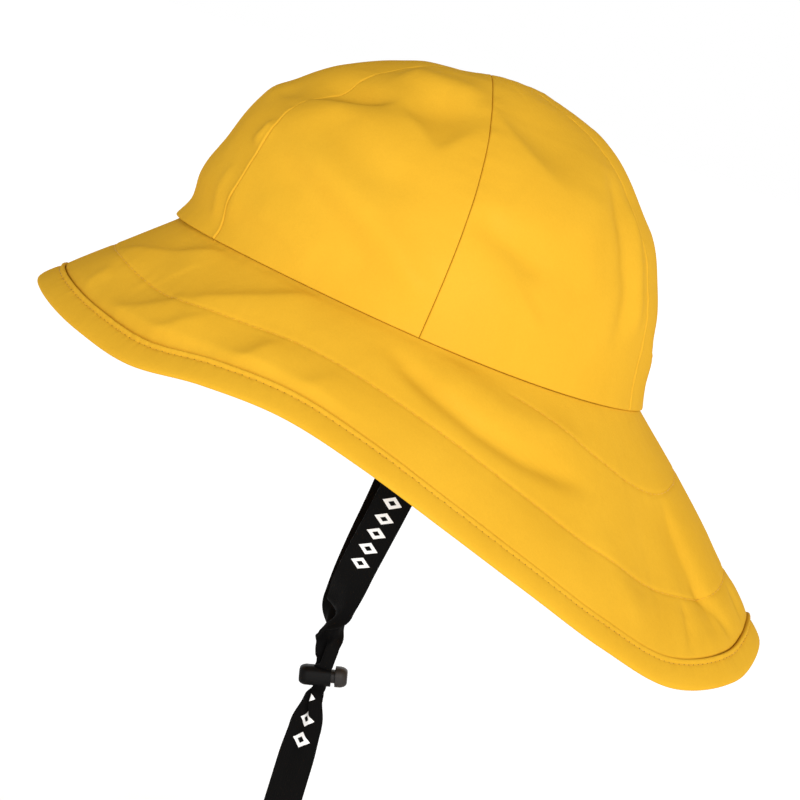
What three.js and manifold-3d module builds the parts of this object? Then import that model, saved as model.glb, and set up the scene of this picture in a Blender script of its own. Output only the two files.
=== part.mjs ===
// Rain hat: a six-panel crown, a broad brim that falls low over the neck,
// a turned edge band, and a webbing chin strap gathered by a small cord lock.
// Millimetres. +Z up, the hat's front toward -Y, the wearer's left toward +X.
// The origin is the middle of the crown's lower opening, where the head goes in.

import * as THREE from 'three';
import { mergeVertices } from 'three/addons/utils/BufferGeometryUtils.js';
import Module from 'manifold-3d';

const wasm = await Module();
wasm.setup();

// Driving dimensions of the crown
const headHalfLength = 101.6;   // centre to the front or back of the crown's lower edge
const headHalfWidth = 87;       // centre to either side of the crown's lower edge
const crownHeight = 101.8;      // origin to the top
const seamFall = 8.7;           // the lower edge stands this high in front, and as low behind
const seamSag = 2.2;            // how far the lower edge hangs below that slope at each side
const clothWall = 1.4;          // coated cloth with its turned seams
const seamGap = 0.3;            // clearance between pieces that are sewn together
const panelPuff = 1.8;          // how far a panel's middle stands out from its seams
const puffBelow = 0.08;         // the puff starts this share of the climb below the lower edge
const dentDepth = 6;            // the deepest dent in the crown
const dentFade = 0.12;          // dents die out over this share of the climb above the lower edge
const crownEye = 2.2;           // where the panel tips stop short of the very top

// Driving dimensions of the brim
const brimReach = 78;           // widest reach outward, at the back
const brimDrop = 94;            // deepest drop, behind the ears
const brimThickness = 2.4;      // two layers of cloth, stitched together
const quiltPuff = 1.4;          // how far the brim stands up between its stitched rows
const brimFold = 2.2;           // height of the brim's soft folds
const bandWidth = 12.5;         // turned band along the brim's edge
const bandRidge = 1.5;          // rolled ridge along the band's upper side

// Driving dimensions of the chin strap
const strapWidth = 15;
const strapThickness = 1;
const strapAzimuth = 98;        // degrees round from the front, where each end is sewn in
const strapSewnLength = 9;      // stretch of each end that lies inside the crown
const lockDrop = 155;           // origin down to the lock
const strapTail = 94;           // lock down to the bottom of the loop
const loopBend = 0.024;         // half width of the loop's bottom, as a share of its tail
const lockForward = 3.5;        // the lock hangs this far in front of the sewn ends
const gatheredWidth = 5.6;      // the webbing squeezed into the lock
const gatheredThickness = 2.6;

// Driving dimensions of the cord lock
const lockTiltDegrees = 13;     // the lock's button end sits higher
const lockClearance = 0.3;
const lockWall = 1.2;
const lockEnd = 3.2;            // closed end of the barrel
const stemHeight = 5.2;
const buttonLength = 5.2;
const buttonTravel = 1.2;
const lockSquareness = 0.62;    // 1 is an oval section, and less is squarer
const lockTip = 0.55;           // size of a rounded end's tip, as a share of the section

// How finely the faceted pieces are cut
const panelColumns = 10;
const panelRows = 13;
const brimColumns = 90;
const strapSteps = 72;
const lockSides = 20;
const lockRoundSteps = [0, 0.25, 0.6, 1];

// Seams between the crown's panels on each side: degrees from the front at the lower edge,
// and how many degrees further back the seam bows half way up
const frontSeam = { startDegrees: 34, bowDegrees: 0 };
const sideSeam = { startDegrees: 92.6, bowDegrees: 3.4 };
const backSeam = { startDegrees: 159, bowDegrees: 2 };

// The crown from its lower edge to the top. climb is the share of the way up the cloth,
// height a share of the crown's height, the rest shares of the lower edge's half sizes.
const crownSections = [
  { climb: 0.00, height: 0.00, front: 1.020, side: 1.000, back: 1.002 },
  { climb: 0.06, height: 0.09, front: 0.976, side: 0.990, back: 0.980 },
  { climb: 0.13, height: 0.21, front: 0.971, side: 0.972, back: 0.960 },
  { climb: 0.21, height: 0.34, front: 0.936, side: 0.943, back: 0.938 },
  { climb: 0.29, height: 0.46, front: 0.893, side: 0.900, back: 0.893 },
  { climb: 0.37, height: 0.58, front: 0.836, side: 0.840, back: 0.838 },
  { climb: 0.46, height: 0.70, front: 0.740, side: 0.752, back: 0.750 },
  { climb: 0.56, height: 0.80, front: 0.618, side: 0.655, back: 0.664 },
  { climb: 0.66, height: 0.88, front: 0.485, side: 0.545, back: 0.575 },
  { climb: 0.75, height: 0.94, front: 0.355, side: 0.425, back: 0.475 },
  { climb: 0.84, height: 0.98, front: 0.235, side: 0.285, back: 0.330 },
  { climb: 1.00, height: 1.00, front: 0.000, side: 0.000, back: 0.000 },
];

// Dents in the crown's cloth. azimuth and across are degrees, climb and along shares of
// the way up, and depth a share of the deepest dent; a negative one stands out.
const crownDents = [
  { azimuth: 79, climb: 0.55, across: 13, along: 0.075, depth: 0.75 },
  { azimuth: 118, climb: 0.58, across: 17, along: 0.11, depth: 1.00 },
  { azimuth: 46, climb: 0.53, across: 19, along: 0.05, depth: 0.60 },
  { azimuth: 40, climb: 0.38, across: 9, along: 0.06, depth: -0.35 },
  { azimuth: 118, climb: 0.25, across: 12, along: 0.06, depth: 0.30 },
  { azimuth: 4, climb: 0.44, across: 12, along: 0.07, depth: 0.55 },
  { azimuth: -52, climb: 0.50, across: 15, along: 0.08, depth: 0.75 },
  { azimuth: -84, climb: 0.60, across: 13, along: 0.07, depth: 0.65 },
  { azimuth: -125, climb: 0.55, across: 16, along: 0.10, depth: 0.90 },
  { azimuth: -70, climb: 0.24, across: 14, along: 0.06, depth: 0.30 },
  { azimuth: 178, climb: 0.50, across: 14, along: 0.08, depth: 0.45 },
];

// The brim round one side, in degrees from the front. reach and drop are shares of the
// widest reach and the deepest drop. row is how far the long stitched row lies in from
// the edge, as a share of the band's width.
const brimStations = [
  { azimuth: 0, reach: 0.636, drop: 0.440, row: 2.75 },
  { azimuth: 30, reach: 0.570, drop: 0.522, row: 2.70 },
  { azimuth: 45, reach: 0.557, drop: 0.546, row: 2.67 },
  { azimuth: 60, reach: 0.548, drop: 0.489, row: 2.65 },
  { azimuth: 75, reach: 0.550, drop: 0.470, row: 2.70 },
  { azimuth: 90, reach: 0.560, drop: 0.535, row: 2.80 },
  { azimuth: 105, reach: 0.610, drop: 0.641, row: 2.92 },
  { azimuth: 120, reach: 0.672, drop: 0.766, row: 3.05 },
  { azimuth: 135, reach: 0.744, drop: 0.901, row: 3.15 },
  { azimuth: 150, reach: 0.853, drop: 1.000, row: 3.15 },
  { azimuth: 165, reach: 0.975, drop: 0.936, row: 3.05 },
  { azimuth: 180, reach: 1.000, drop: 0.806, row: 3.00 },
];

// Soft folds in the brim. out is a share of the way from the crown to the band.
const brimFolds = [
  { azimuth: 30, across: 7, out: 0.35, along: 0.35, height: -0.8 },
  { azimuth: 44, across: 7, out: 0.55, along: 0.40, height: 0.7 },
  { azimuth: 60, across: 6, out: 0.75, along: 0.30, height: -0.7 },
  { azimuth: 105, across: 10, out: 0.45, along: 0.35, height: 0.6 },
  { azimuth: 152, across: 6, out: 0.75, along: 0.40, height: -0.9 },
  { azimuth: 168, across: 6, out: 0.80, along: 0.40, height: 0.6 },
  { azimuth: -24, across: 8, out: 0.50, along: 0.40, height: -0.7 },
  { azimuth: -58, across: 8, out: 0.60, along: 0.35, height: 0.8 },
  { azimuth: -96, across: 9, out: 0.50, along: 0.35, height: -0.6 },
  { azimuth: -150, across: 8, out: 0.70, along: 0.40, height: 0.8 },
];

// One leg of the chin strap from its sewn end to the lock. down is a share of the drop
// to the lock, spread a share of the half distance between the sewn ends, lean a share
// of the strap's width toward the back, and gather runs from flat webbing to squeezed.
const strapLeg = [
  { down: 0.030, spread: 0.995, lean: 0.00, gather: 0.00 },
  { down: 0.160, spread: 0.905, lean: 0.01, gather: 0.00 },
  { down: 0.330, spread: 0.725, lean: -0.04, gather: 0.00 },
  { down: 0.500, spread: 0.530, lean: -0.10, gather: 0.00 },
  { down: 0.660, spread: 0.315, lean: -0.17, gather: 0.08 },
  { down: 0.780, spread: 0.145, lean: -0.21, gather: 0.55 },
  { down: 0.860, spread: 0.052, lean: -0.23, gather: 0.95 },
  { down: 0.930, spread: 0.036, lean: -0.23, gather: 0.95 },
];

// The same leg below the lock. down and spread are shares of the tail's length.
const strapTailLeg = [
  { down: 0.105, spread: 0.024, lean: 0.00, gather: 0.85 },
  { down: 0.260, spread: 0.030, lean: 0.03, gather: 0.40 },
  { down: 0.420, spread: 0.040, lean: 0.05, gather: 0.05 },
  { down: 0.620, spread: 0.050, lean: 0.07, gather: 0.00 },
  { down: 0.820, spread: 0.060, lean: 0.08, gather: 0.00 },
  { down: 0.940, spread: 0.050, lean: 0.08, gather: 0.00 },
];

const radians = THREE.MathUtils.degToRad;

// A smooth value between the rows of a table: a cubic through them with level ends
function between(rows, key, column, at) {
  let i = 0;
  while (i < rows.length - 2 && at > rows[i + 1][key]) {
    i += 1;
  }
  const left = rows[i];
  const right = rows[i + 1];
  const step = right[key] - left[key];
  const slope = (before, after) => (after[column] - before[column]) / (after[key] - before[key]);
  const startSlope = i > 0 ? slope(rows[i - 1], right) : slope(left, right) * (rows.levelEnds ? 0 : 1);
  const endSlope = i < rows.length - 2
    ? slope(left, rows[i + 2])
    : slope(left, right) * (rows.levelEnds ? 0 : 1);
  const t = (at - left[key]) / step;
  const t2 = t * t;
  const t3 = t2 * t;
  return (2 * t3 - 3 * t2 + 1) * left[column] + (t3 - 2 * t2 + t) * step * startSlope
    + (3 * t2 - 2 * t3) * right[column] + (t3 - t2) * step * endSlope;
}
brimStations.levelEnds = true;

// Degrees turned from one azimuth to another, from -180 to 180
function turned(from, to) {
  return THREE.MathUtils.euclideanModulo(to - from + 180, 360) - 180;
}

// The sum of the bumps in a table near one place on the cloth
function bumps(rows, azimuth, alongKey, alongValue, sizeKey) {
  let sum = 0;
  for (const row of rows) {
    const across = turned(row.azimuth, azimuth) / row.across;
    const along = (alongValue - row[alongKey]) / row.along;
    sum += row[sizeKey] * Math.exp(-across * across - along * along);
  }
  return sum;
}

// A closed body through a row of loops, each with the same even number of points.
// A ring joins its last loop to its first; otherwise both ends are closed like a ladder.
function loft(loops, ring) {
  const count = loops[0].length;
  const positions = loops.flat().flatMap((p) => [p.x, p.y, p.z]);
  const index = [];
  const quad = (a, b, c, d) => index.push(a, b, c, a, c, d);
  const spans = ring ? loops.length : loops.length - 1;
  for (let i = 0; i < spans; i += 1) {
    const here = i * count;
    const next = ((i + 1) % loops.length) * count;
    for (let k = 0; k < count; k += 1) {
      const l = (k + 1) % count;
      quad(here + k, next + k, next + l, here + l);
    }
  }
  if (!ring) {
    const last = (loops.length - 1) * count;
    for (let k = 0; k < count / 2 - 1; k += 1) {
      const far = count - 1 - k;
      quad(k, k + 1, far - 1, far);
      quad(last + k, last + far, last + far - 1, last + k + 1);
    }
  }
  const geometry = new THREE.BufferGeometry();
  geometry.setAttribute('position', new THREE.Float32BufferAttribute(positions, 3));
  geometry.setIndex(index);
  return facingOut(geometry);
}

// Turns a closed body's faces outward if they point in
function facingOut(geometry) {
  const p = geometry.getAttribute('position');
  const index = geometry.getIndex().array;
  const [a, b, c] = [new THREE.Vector3(), new THREE.Vector3(), new THREE.Vector3()];
  let volume = 0;
  for (let i = 0; i < index.length; i += 3) {
    a.fromBufferAttribute(p, index[i]);
    b.fromBufferAttribute(p, index[i + 1]);
    c.fromBufferAttribute(p, index[i + 2]);
    volume += a.dot(b.cross(c));
  }
  if (volume < 0) {
    for (let i = 0; i < index.length; i += 3) {
      [index[i + 1], index[i + 2]] = [index[i + 2], index[i + 1]];
    }
  }
  return geometry;
}

function toManifold(geometry) {
  const bare = geometry.clone();
  bare.deleteAttribute('normal');
  bare.deleteAttribute('uv');
  const merged = mergeVertices(bare, 1e-4);
  return new wasm.Manifold(new wasm.Mesh({
    numProp: 3,
    vertProperties: new Float32Array(merged.getAttribute('position').array),
    triVerts: new Uint32Array(merged.getIndex().array),
  }));
}

function fromManifold(solid) {
  const mesh = solid.getMesh();
  const geometry = new THREE.BufferGeometry();
  geometry.setAttribute('position', new THREE.Float32BufferAttribute(mesh.vertProperties, 3));
  geometry.setIndex(Array.from(mesh.triVerts));
  return geometry;
}

// How high the crown's lower edge lies: it slopes down to the back, and sags behind the ears
function seamHeight(azimuth) {
  const forward = Math.cos(radians(azimuth));
  return seamFall * forward - seamSag * (1 - forward * forward) * (1 - forward);
}

// The crown's lower edge, round from the front
function seamPoint(azimuth) {
  const a = radians(azimuth);
  return new THREE.Vector3(
    headHalfWidth * Math.sin(a),
    -headHalfLength * Math.cos(a),
    seamHeight(azimuth),
  );
}

// The level direction straight out from the crown's lower edge
function outward(azimuth) {
  const a = radians(azimuth);
  return new THREE.Vector3(Math.sin(a) / headHalfWidth, -Math.cos(a) / headHalfLength, 0).normalize();
}

// The crown before its puffs and dents
function smoothCrown(azimuth, climb) {
  const a = radians(azimuth);
  const section = (column) => between(crownSections, 'climb', column, climb);
  const frontness = (1 + Math.cos(a)) / 2;
  const length = section('front') * frontness + section('back') * (1 - frontness);
  const foot = seamHeight(azimuth);
  return new THREE.Vector3(
    headHalfWidth * section('side') * Math.sin(a),
    -headHalfLength * length * Math.cos(a),
    foot + (crownHeight - foot) * section('height'),
  );
}

function crownNormal(azimuth, climb) {
  const turn = 0.5;
  const rise = 0.01;
  const low = Math.max(climb - rise, 0);
  const high = Math.min(climb + rise, 0.99);
  const round = smoothCrown(azimuth + turn, climb).sub(smoothCrown(azimuth - turn, climb));
  const up = smoothCrown(azimuth, high).sub(smoothCrown(azimuth, low));
  return round.cross(up).normalize();
}

// A seam's azimuth at a share of the way up the cloth. side is 1 on the wearer's left.
function seamAzimuth(seam, climb) {
  return seam.side * (seam.startDegrees + seam.bowDegrees * Math.sin(Math.PI * climb));
}

// The crown's outer face, across one panel from its first seam to its second
function crownFace(azimuth, climb, across) {
  const puff = panelPuff * (1 - (2 * across - 1) ** 2) * Math.sin(Math.PI * Math.min(climb + puffBelow, 1));
  const fade = THREE.MathUtils.smoothstep(climb, 0, dentFade);
  const dent = dentDepth * bumps(crownDents, azimuth, 'climb', climb, 'depth') * fade;
  const face = smoothCrown(azimuth, climb);
  return face.addScaledVector(crownNormal(azimuth, climb), puff - dent);
}

// How far up the cloth the panel tips stop, so that they leave the crown's eye
function topClimb() {
  let climb = 1;
  while (smoothCrown(90, climb).x < crownEye) {
    climb -= 0.001;
  }
  return climb;
}

// One crown panel between two seams, its side walls half a gap clear of each seam
function crownPanel(fromSeam, toSeam) {
  const top = topClimb();
  const loops = [];
  for (let i = 0; i <= panelColumns; i += 1) {
    const across = i / panelColumns;
    const outer = [];
    const inner = [];
    for (let j = 0; j <= panelRows; j += 1) {
      const climb = top * j / panelRows;
      const from = seamAzimuth(fromSeam, climb);
      const to = from + THREE.MathUtils.euclideanModulo(seamAzimuth(toSeam, climb) - from, 360);
      const radius = Math.hypot(...smoothCrown(from, climb).toArray().slice(0, 2));
      const clear = THREE.MathUtils.radToDeg(seamGap / 2 / radius);
      const azimuth = THREE.MathUtils.lerp(from + clear, to - clear, across);
      const face = crownFace(azimuth, climb, across);
      outer.push(face);
      inner.push(face.clone().addScaledVector(crownNormal(azimuth, climb), -clothWall));
    }
    loops.push([...outer, ...inner.reverse()]);
  }
  return loft(loops, false);
}

// The brim's own directions at one azimuth, and how wide it is there
function brimFrame(azimuth) {
  const side = Math.abs(turned(0, azimuth));
  const reach = brimReach * between(brimStations, 'azimuth', 'reach', side);
  const drop = brimDrop * between(brimStations, 'azimuth', 'drop', side);
  const width = Math.hypot(reach, drop);
  const level = outward(azimuth);
  const out = level.clone().multiplyScalar(reach / width);
  out.z = -drop / width;
  const up = level.clone().multiplyScalar(drop / width);
  up.z = reach / width;
  const start = seamPoint(azimuth).addScaledVector(level, -clothWall / 2);
  start.z -= seamGap;
  const row = bandWidth * between(brimStations, 'azimuth', 'row', side);
  return { start, out, up, width, row };
}

// A point on or in the brim, so far out from the crown's seam and so far above its face
function brimPoint(frame, out, lift) {
  return frame.start.clone().addScaledVector(frame.out, out).addScaledVector(frame.up, lift);
}

// The brim: it bows up a little, and dips at its long row of stitches
function brim() {
  const loops = [];
  for (let i = 0; i < brimColumns; i += 1) {
    const azimuth = 360 * i / brimColumns;
    const frame = brimFrame(azimuth);
    const end = frame.width - bandWidth - seamGap;
    const row = frame.width - frame.row;
    const stops = [0, row / 3, 2 * row / 3, row, row + (end - row) / 3, row + 2 * (end - row) / 3, end];
    const lifts = [0, 0.8, 1, 0.55, 1, 0.8, 0].map((share) => share * quiltPuff);
    const folds = stops.map((out) => {
      const ends = Math.sin(Math.PI * THREE.MathUtils.clamp(out / end, 0, 1));
      return brimFold * ends * bumps(brimFolds, azimuth, 'out', out / end, 'height');
    });
    const top = stops.map((out, k) => brimPoint(frame, out, lifts[k] + folds[k]));
    const under = stops.map((out, k) => brimPoint(frame, out, folds[k] - lifts[k] - brimThickness));
    loops.push([...top, ...under.reverse()]);
  }
  return loft(loops, true);
}

// The turned band along the edge, with the rolled ridge on its upper side
const bandSection = [
  { out: 0.00, lift: 0.0, ridge: 0.0 },
  { out: 0.00, lift: 0.0, ridge: 0.6 },
  { out: 0.07, lift: 0.0, ridge: 1.0 },
  { out: 0.17, lift: 0.0, ridge: 0.8 },
  { out: 0.25, lift: 0.0, ridge: 0.0 },
  { out: 0.92, lift: 0.0, ridge: 0.0 },
  { out: 1.00, lift: -0.3, ridge: 0.0 },
  { out: 1.00, lift: -0.7, ridge: 0.0 },
  { out: 0.92, lift: -1.0, ridge: 0.0 },
  { out: 0.00, lift: -1.0, ridge: 0.0 },
];

function edgeBand() {
  const loops = [];
  for (let i = 0; i < brimColumns; i += 1) {
    const frame = brimFrame(360 * i / brimColumns);
    const inner = frame.width - bandWidth;
    loops.push(bandSection.map((p) => brimPoint(
      frame,
      inner + p.out * bandWidth,
      p.lift * brimThickness + p.ridge * bandRidge,
    )));
  }
  return loft(loops, true);
}

// Where the strap and the lock hang: the lock's middle, and its tilt
const lockTilt = radians(lockTiltDegrees);
const layerGap = 2 * lockClearance;
const strapSeat = (() => {
  const middle = seamPoint(strapAzimuth);
  const edge = THREE.MathUtils.radToDeg(Math.acos(-(middle.y + strapWidth / 2) / headHalfLength));
  const innermost = brimPoint(brimFrame(edge), 0, -brimThickness);
  return {
    spread: innermost.x - seamGap - strapThickness / 2,
    back: middle.y,
    foot: middle.z,
  };
})();
const lockMiddle = new THREE.Vector3(0, strapSeat.back - lockForward, -lockDrop);
const layerOffset = (gatheredThickness + layerGap) / 2;

// The points of one leg, from the sewn end down to the bottom of the loop
function strapLegPoints() {
  const seat = strapSeat;
  const points = [
    { x: seat.spread, y: seat.back, z: seat.foot + strapSewnLength, gather: 0, tilt: 0 },
    { x: seat.spread, y: seat.back, z: seat.foot, gather: 0, tilt: 0 },
  ];
  for (const row of strapLeg) {
    points.push({
      x: Math.max(row.spread * seat.spread, layerOffset),
      y: seat.back + row.lean * strapWidth,
      z: seat.foot + (-lockDrop - seat.foot) * row.down,
      gather: row.gather,
      tilt: 0,
    });
  }
  const throat = stemHeight / 2 + lockWall + lockClearance;
  for (const way of [1, 0, -1]) {
    points.push({
      x: layerOffset,
      y: lockMiddle.y - way * throat * Math.sin(lockTilt),
      z: lockMiddle.z + way * throat * Math.cos(lockTilt),
      gather: 1,
      tilt: lockTilt,
    });
  }
  for (const row of strapTailLeg) {
    points.push({
      x: Math.max(row.spread * strapTail, layerOffset),
      y: lockMiddle.y + row.lean * strapWidth,
      z: -lockDrop - strapTail * row.down,
      gather: row.gather,
      tilt: 0,
    });
  }
  points.push({
    x: loopBend * strapTail,
    y: lockMiddle.y + strapTailLeg.at(-1).lean * strapWidth,
    z: -lockDrop - strapTail,
    gather: 0,
    tilt: 0,
  });
  return points;
}

// The strap: one length of webbing, sewn in at both sides, both legs through the lock
function chinStrap() {
  const leg = strapLegPoints();
  const far = leg.map((p) => ({ ...p, x: -p.x })).reverse();
  const route = [...leg, ...far];
  const stops = route.map((p) => new THREE.Vector3(p.x, p.y, p.z));
  const curve = new THREE.CatmullRomCurve3(stops, false, 'centripetal');
  const loops = [];
  const last = route.length - 1;
  const steps = 2 * strapSteps;
  for (let i = 0; i <= steps; i += 1) {
    const t = i / steps;
    const k = Math.min(Math.floor(t * last), last - 1);
    const part = THREE.MathUtils.smoothstep(t * last - k, 0, 1);
    const gather = THREE.MathUtils.lerp(route[k].gather, route[k + 1].gather, part);
    const tilt = THREE.MathUtils.lerp(route[k].tilt, route[k + 1].tilt, part);
    const middle = curve.getPoint(t);
    const along = curve.getTangent(t);
    const wide = new THREE.Vector3(0, Math.cos(tilt), Math.sin(tilt));
    wide.addScaledVector(along, -wide.dot(along)).normalize();
    const thick = new THREE.Vector3().crossVectors(along, wide);
    const halfWidth = THREE.MathUtils.lerp(strapWidth, gatheredWidth, gather) / 2;
    const halfThickness = THREE.MathUtils.lerp(strapThickness, gatheredThickness, gather) / 2;
    const corner = (w, h) => middle.clone()
      .addScaledVector(wide, w * halfWidth)
      .addScaledVector(thick, h * halfThickness);
    loops.push([corner(-1, 1), corner(1, 1), corner(1, -1), corner(-1, -1)]);
  }
  return loft(loops, false);
}

// The cord lock lies along its own Y: its closed end toward -Y, its button toward +Y
const slotLength = gatheredWidth + 2 * lockClearance;
const slotWidth = 2 * gatheredThickness + layerGap + 2 * lockClearance;
const stemWidth = slotWidth + 2 * lockWall;
const boreWidth = stemWidth + 2 * lockClearance;
const boreHeight = stemHeight + 2 * lockClearance;
const barrelWidth = boreWidth + 2 * lockWall;
const barrelHeight = boreHeight + 2 * lockWall;
const stemNose = -slotLength / 2 - lockWall;
const boreBottom = stemNose - buttonTravel - lockClearance;
const barrelStart = boreBottom - lockEnd;
const barrelMouth = slotLength / 2 + lockWall;
const buttonStart = barrelMouth + buttonTravel + lockClearance;
const buttonEnd = buttonStart + buttonLength;

// A flattened round loop across the lock, shrunk toward its middle by scale
function lockLoop(y, width, height, scale) {
  const loop = [];
  for (let k = 0; k < lockSides; k += 1) {
    const a = 2 * Math.PI * (k + 0.5) / lockSides;
    const x = Math.sign(Math.cos(a)) * Math.abs(Math.cos(a)) ** lockSquareness;
    const z = Math.sign(Math.sin(a)) * Math.abs(Math.sin(a)) ** lockSquareness;
    loop.push(new THREE.Vector3(scale * x * width / 2, y, scale * z * height / 2));
  }
  return loop;
}

// A flattened round bar from one end to the other, with ends rounded by their own lengths
function lockBar(start, end, width, height, startRound, endRound) {
  const fullness = (step) => THREE.MathUtils.lerp(lockTip, 1, Math.sqrt(step * (2 - step)));
  const loops = [];
  for (const step of startRound ? lockRoundSteps : [1]) {
    loops.push(lockLoop(start + startRound * step, width, height, fullness(step)));
  }
  for (const step of endRound ? lockRoundSteps.toReversed() : [1]) {
    loops.push(lockLoop(end - endRound * step, width, height, fullness(step)));
  }
  return toManifold(loft(loops, false));
}

function slotCutter(start, end) {
  const box = new THREE.BoxGeometry(slotWidth, end - start, 3 * barrelHeight);
  box.translate(0, (start + end) / 2, 0);
  return toManifold(box);
}

function lockBarrel() {
  const body = lockBar(barrelStart, barrelMouth, barrelWidth, barrelHeight, lockEnd, 0);
  const bore = lockBar(boreBottom, barrelMouth + lockWall, boreWidth, boreHeight, 0, 0);
  const slot = slotCutter(-slotLength / 2, slotLength / 2);
  return fromManifold(body.subtract(bore).subtract(slot));
}

function lockButton() {
  const cap = lockBar(buttonStart, buttonEnd, barrelWidth, barrelHeight, lockClearance, lockEnd);
  const stem = lockBar(stemNose, buttonStart + lockWall, stemWidth, stemHeight, 0, 0);
  const slot = slotCutter(-slotLength / 2, slotLength / 2 + buttonTravel);
  return fromManifold(cap.add(stem).subtract(slot));
}

const yellowCloth = new THREE.MeshStandardMaterial({ color: 0xf2bb36, roughness: 0.5, metalness: 0 });
const blackWebbing = new THREE.MeshStandardMaterial({ color: 0x141416, roughness: 0.8, metalness: 0 });
const blackPlastic = new THREE.MeshStandardMaterial({ color: 0x1a1a1c, roughness: 0.45, metalness: 0 });
const greyPlastic = new THREE.MeshStandardMaterial({ color: 0x3c3a39, roughness: 0.5, metalness: 0 });

const hat = new THREE.Group();

function addPiece(parent, name, geometry, material) {
  const mesh = new THREE.Mesh(geometry, material.clone());
  mesh.name = name;
  parent.add(mesh);
}

const left = (seam) => ({ ...seam, side: 1 });
const right = (seam) => ({ ...seam, side: -1 });
addPiece(hat, 'crown_front', crownPanel(right(frontSeam), left(frontSeam)), yellowCloth);
addPiece(hat, 'crown_front_left', crownPanel(left(frontSeam), left(sideSeam)), yellowCloth);
addPiece(hat, 'crown_back_left', crownPanel(left(sideSeam), left(backSeam)), yellowCloth);
addPiece(hat, 'crown_back', crownPanel(left(backSeam), right(backSeam)), yellowCloth);
addPiece(hat, 'crown_back_right', crownPanel(right(backSeam), right(sideSeam)), yellowCloth);
addPiece(hat, 'crown_front_right', crownPanel(right(sideSeam), right(frontSeam)), yellowCloth);
addPiece(hat, 'brim', brim(), yellowCloth);
addPiece(hat, 'edge_band', edgeBand(), yellowCloth);
addPiece(hat, 'chin_strap', chinStrap(), blackWebbing);

const lock = new THREE.Group();
lock.position.copy(lockMiddle);
lock.rotation.x = lockTilt;
hat.add(lock);
addPiece(lock, 'lock_barrel', lockBarrel(), blackPlastic);
addPiece(lock, 'lock_button', lockButton(), greyPlastic);

export default hat;
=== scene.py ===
"""The looks of the rain hat: coated yellow cloth, stitched rows, a webbing chin strap and its cord lock.

Tables and lengths are in millimetres, like the part they go with, and turned to metres as a mesh is made.
+Z is up, the hat's front points to -Y and the wearer's left to +X.
"""

import math

import bmesh
import bpy
import numpy as np
from mathutils import Matrix, Vector


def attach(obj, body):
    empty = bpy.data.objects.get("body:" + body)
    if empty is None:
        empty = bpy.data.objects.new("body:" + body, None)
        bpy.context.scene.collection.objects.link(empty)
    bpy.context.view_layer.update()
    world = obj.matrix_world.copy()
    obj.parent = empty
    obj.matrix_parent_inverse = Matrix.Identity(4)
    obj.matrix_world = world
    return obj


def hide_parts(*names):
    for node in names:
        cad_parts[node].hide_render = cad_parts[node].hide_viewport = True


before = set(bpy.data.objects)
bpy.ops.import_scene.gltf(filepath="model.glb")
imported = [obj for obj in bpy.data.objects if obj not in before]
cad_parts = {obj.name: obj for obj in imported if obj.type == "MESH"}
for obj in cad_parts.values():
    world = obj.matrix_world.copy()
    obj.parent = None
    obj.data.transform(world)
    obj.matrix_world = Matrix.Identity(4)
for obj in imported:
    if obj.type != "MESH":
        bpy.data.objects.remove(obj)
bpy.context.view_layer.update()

MM = 0.001                 # metres

# Sizes that the part has too, with the same values. An azimuth is degrees from the front,
# positive on the wearer's left, and a climb is a share of the way up the crown's cloth.
HEAD_HALF_LENGTH = 101.6
HEAD_HALF_WIDTH = 87.0
CROWN_HEIGHT = 101.8
SEAM_FALL = 8.7
SEAM_SAG = 2.2
CLOTH_WALL = 1.4
SEAM_GAP = 0.3
PANEL_PUFF = 1.8
DENT_DEPTH = 6.0
BRIM_REACH = 78.0
BRIM_DROP = 94.0
BRIM_THICKNESS = 2.4
QUILT_PUFF = 1.4
BRIM_FOLD = 2.2
BAND_WIDTH = 12.5
BAND_RIDGE = 1.5
STRAP_WIDTH = 15.0
STRAP_THICKNESS = 1.0
STRAP_AZIMUTH = 98.0
STRAP_SEWN_LENGTH = 9.0
LOCK_DROP = 155.0
STRAP_TAIL = 94.0
LOCK_FORWARD = 3.5
GATHERED_WIDTH = 5.6
GATHERED_THICKNESS = 2.6
LOCK_TILT = math.radians(13)
LOCK_CLEARANCE = 0.3
LOCK_WALL = 1.2
LOCK_END = 3.2
STEM_HEIGHT = 5.2
BUTTON_LENGTH = 5.2
BUTTON_TRAVEL = 1.2

# Seams of the crown, in degrees from the front: at the lower edge, how far they bow back half way up,
# and how far just above the lower edge. The front seam follows the photograph a little more closely
# than the part's, which is straight.
FRONT_SEAM = (35.8, -1.8, -1.8)
SIDE_SEAM = (92.6, 3.4, 0.0)
BACK_SEAM = (159.0, 2.0, 0.0)

# The crown, as in the part: climb, share of the height, then shares of the half sizes in front,
# at the side and behind
CROWN_SECTIONS = np.array([
    (0.00, 0.00, 1.020, 1.000, 1.002),
    (0.06, 0.09, 0.976, 0.990, 0.980),
    (0.13, 0.21, 0.971, 0.972, 0.960),
    (0.21, 0.34, 0.936, 0.943, 0.938),
    (0.29, 0.46, 0.893, 0.900, 0.893),
    (0.37, 0.58, 0.836, 0.840, 0.838),
    (0.46, 0.70, 0.740, 0.752, 0.750),
    (0.56, 0.80, 0.618, 0.655, 0.664),
    (0.66, 0.88, 0.485, 0.545, 0.575),
    (0.75, 0.94, 0.355, 0.425, 0.475),
    (0.84, 0.98, 0.235, 0.285, 0.330),
    (1.00, 1.00, 0.000, 0.000, 0.000),
])

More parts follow.
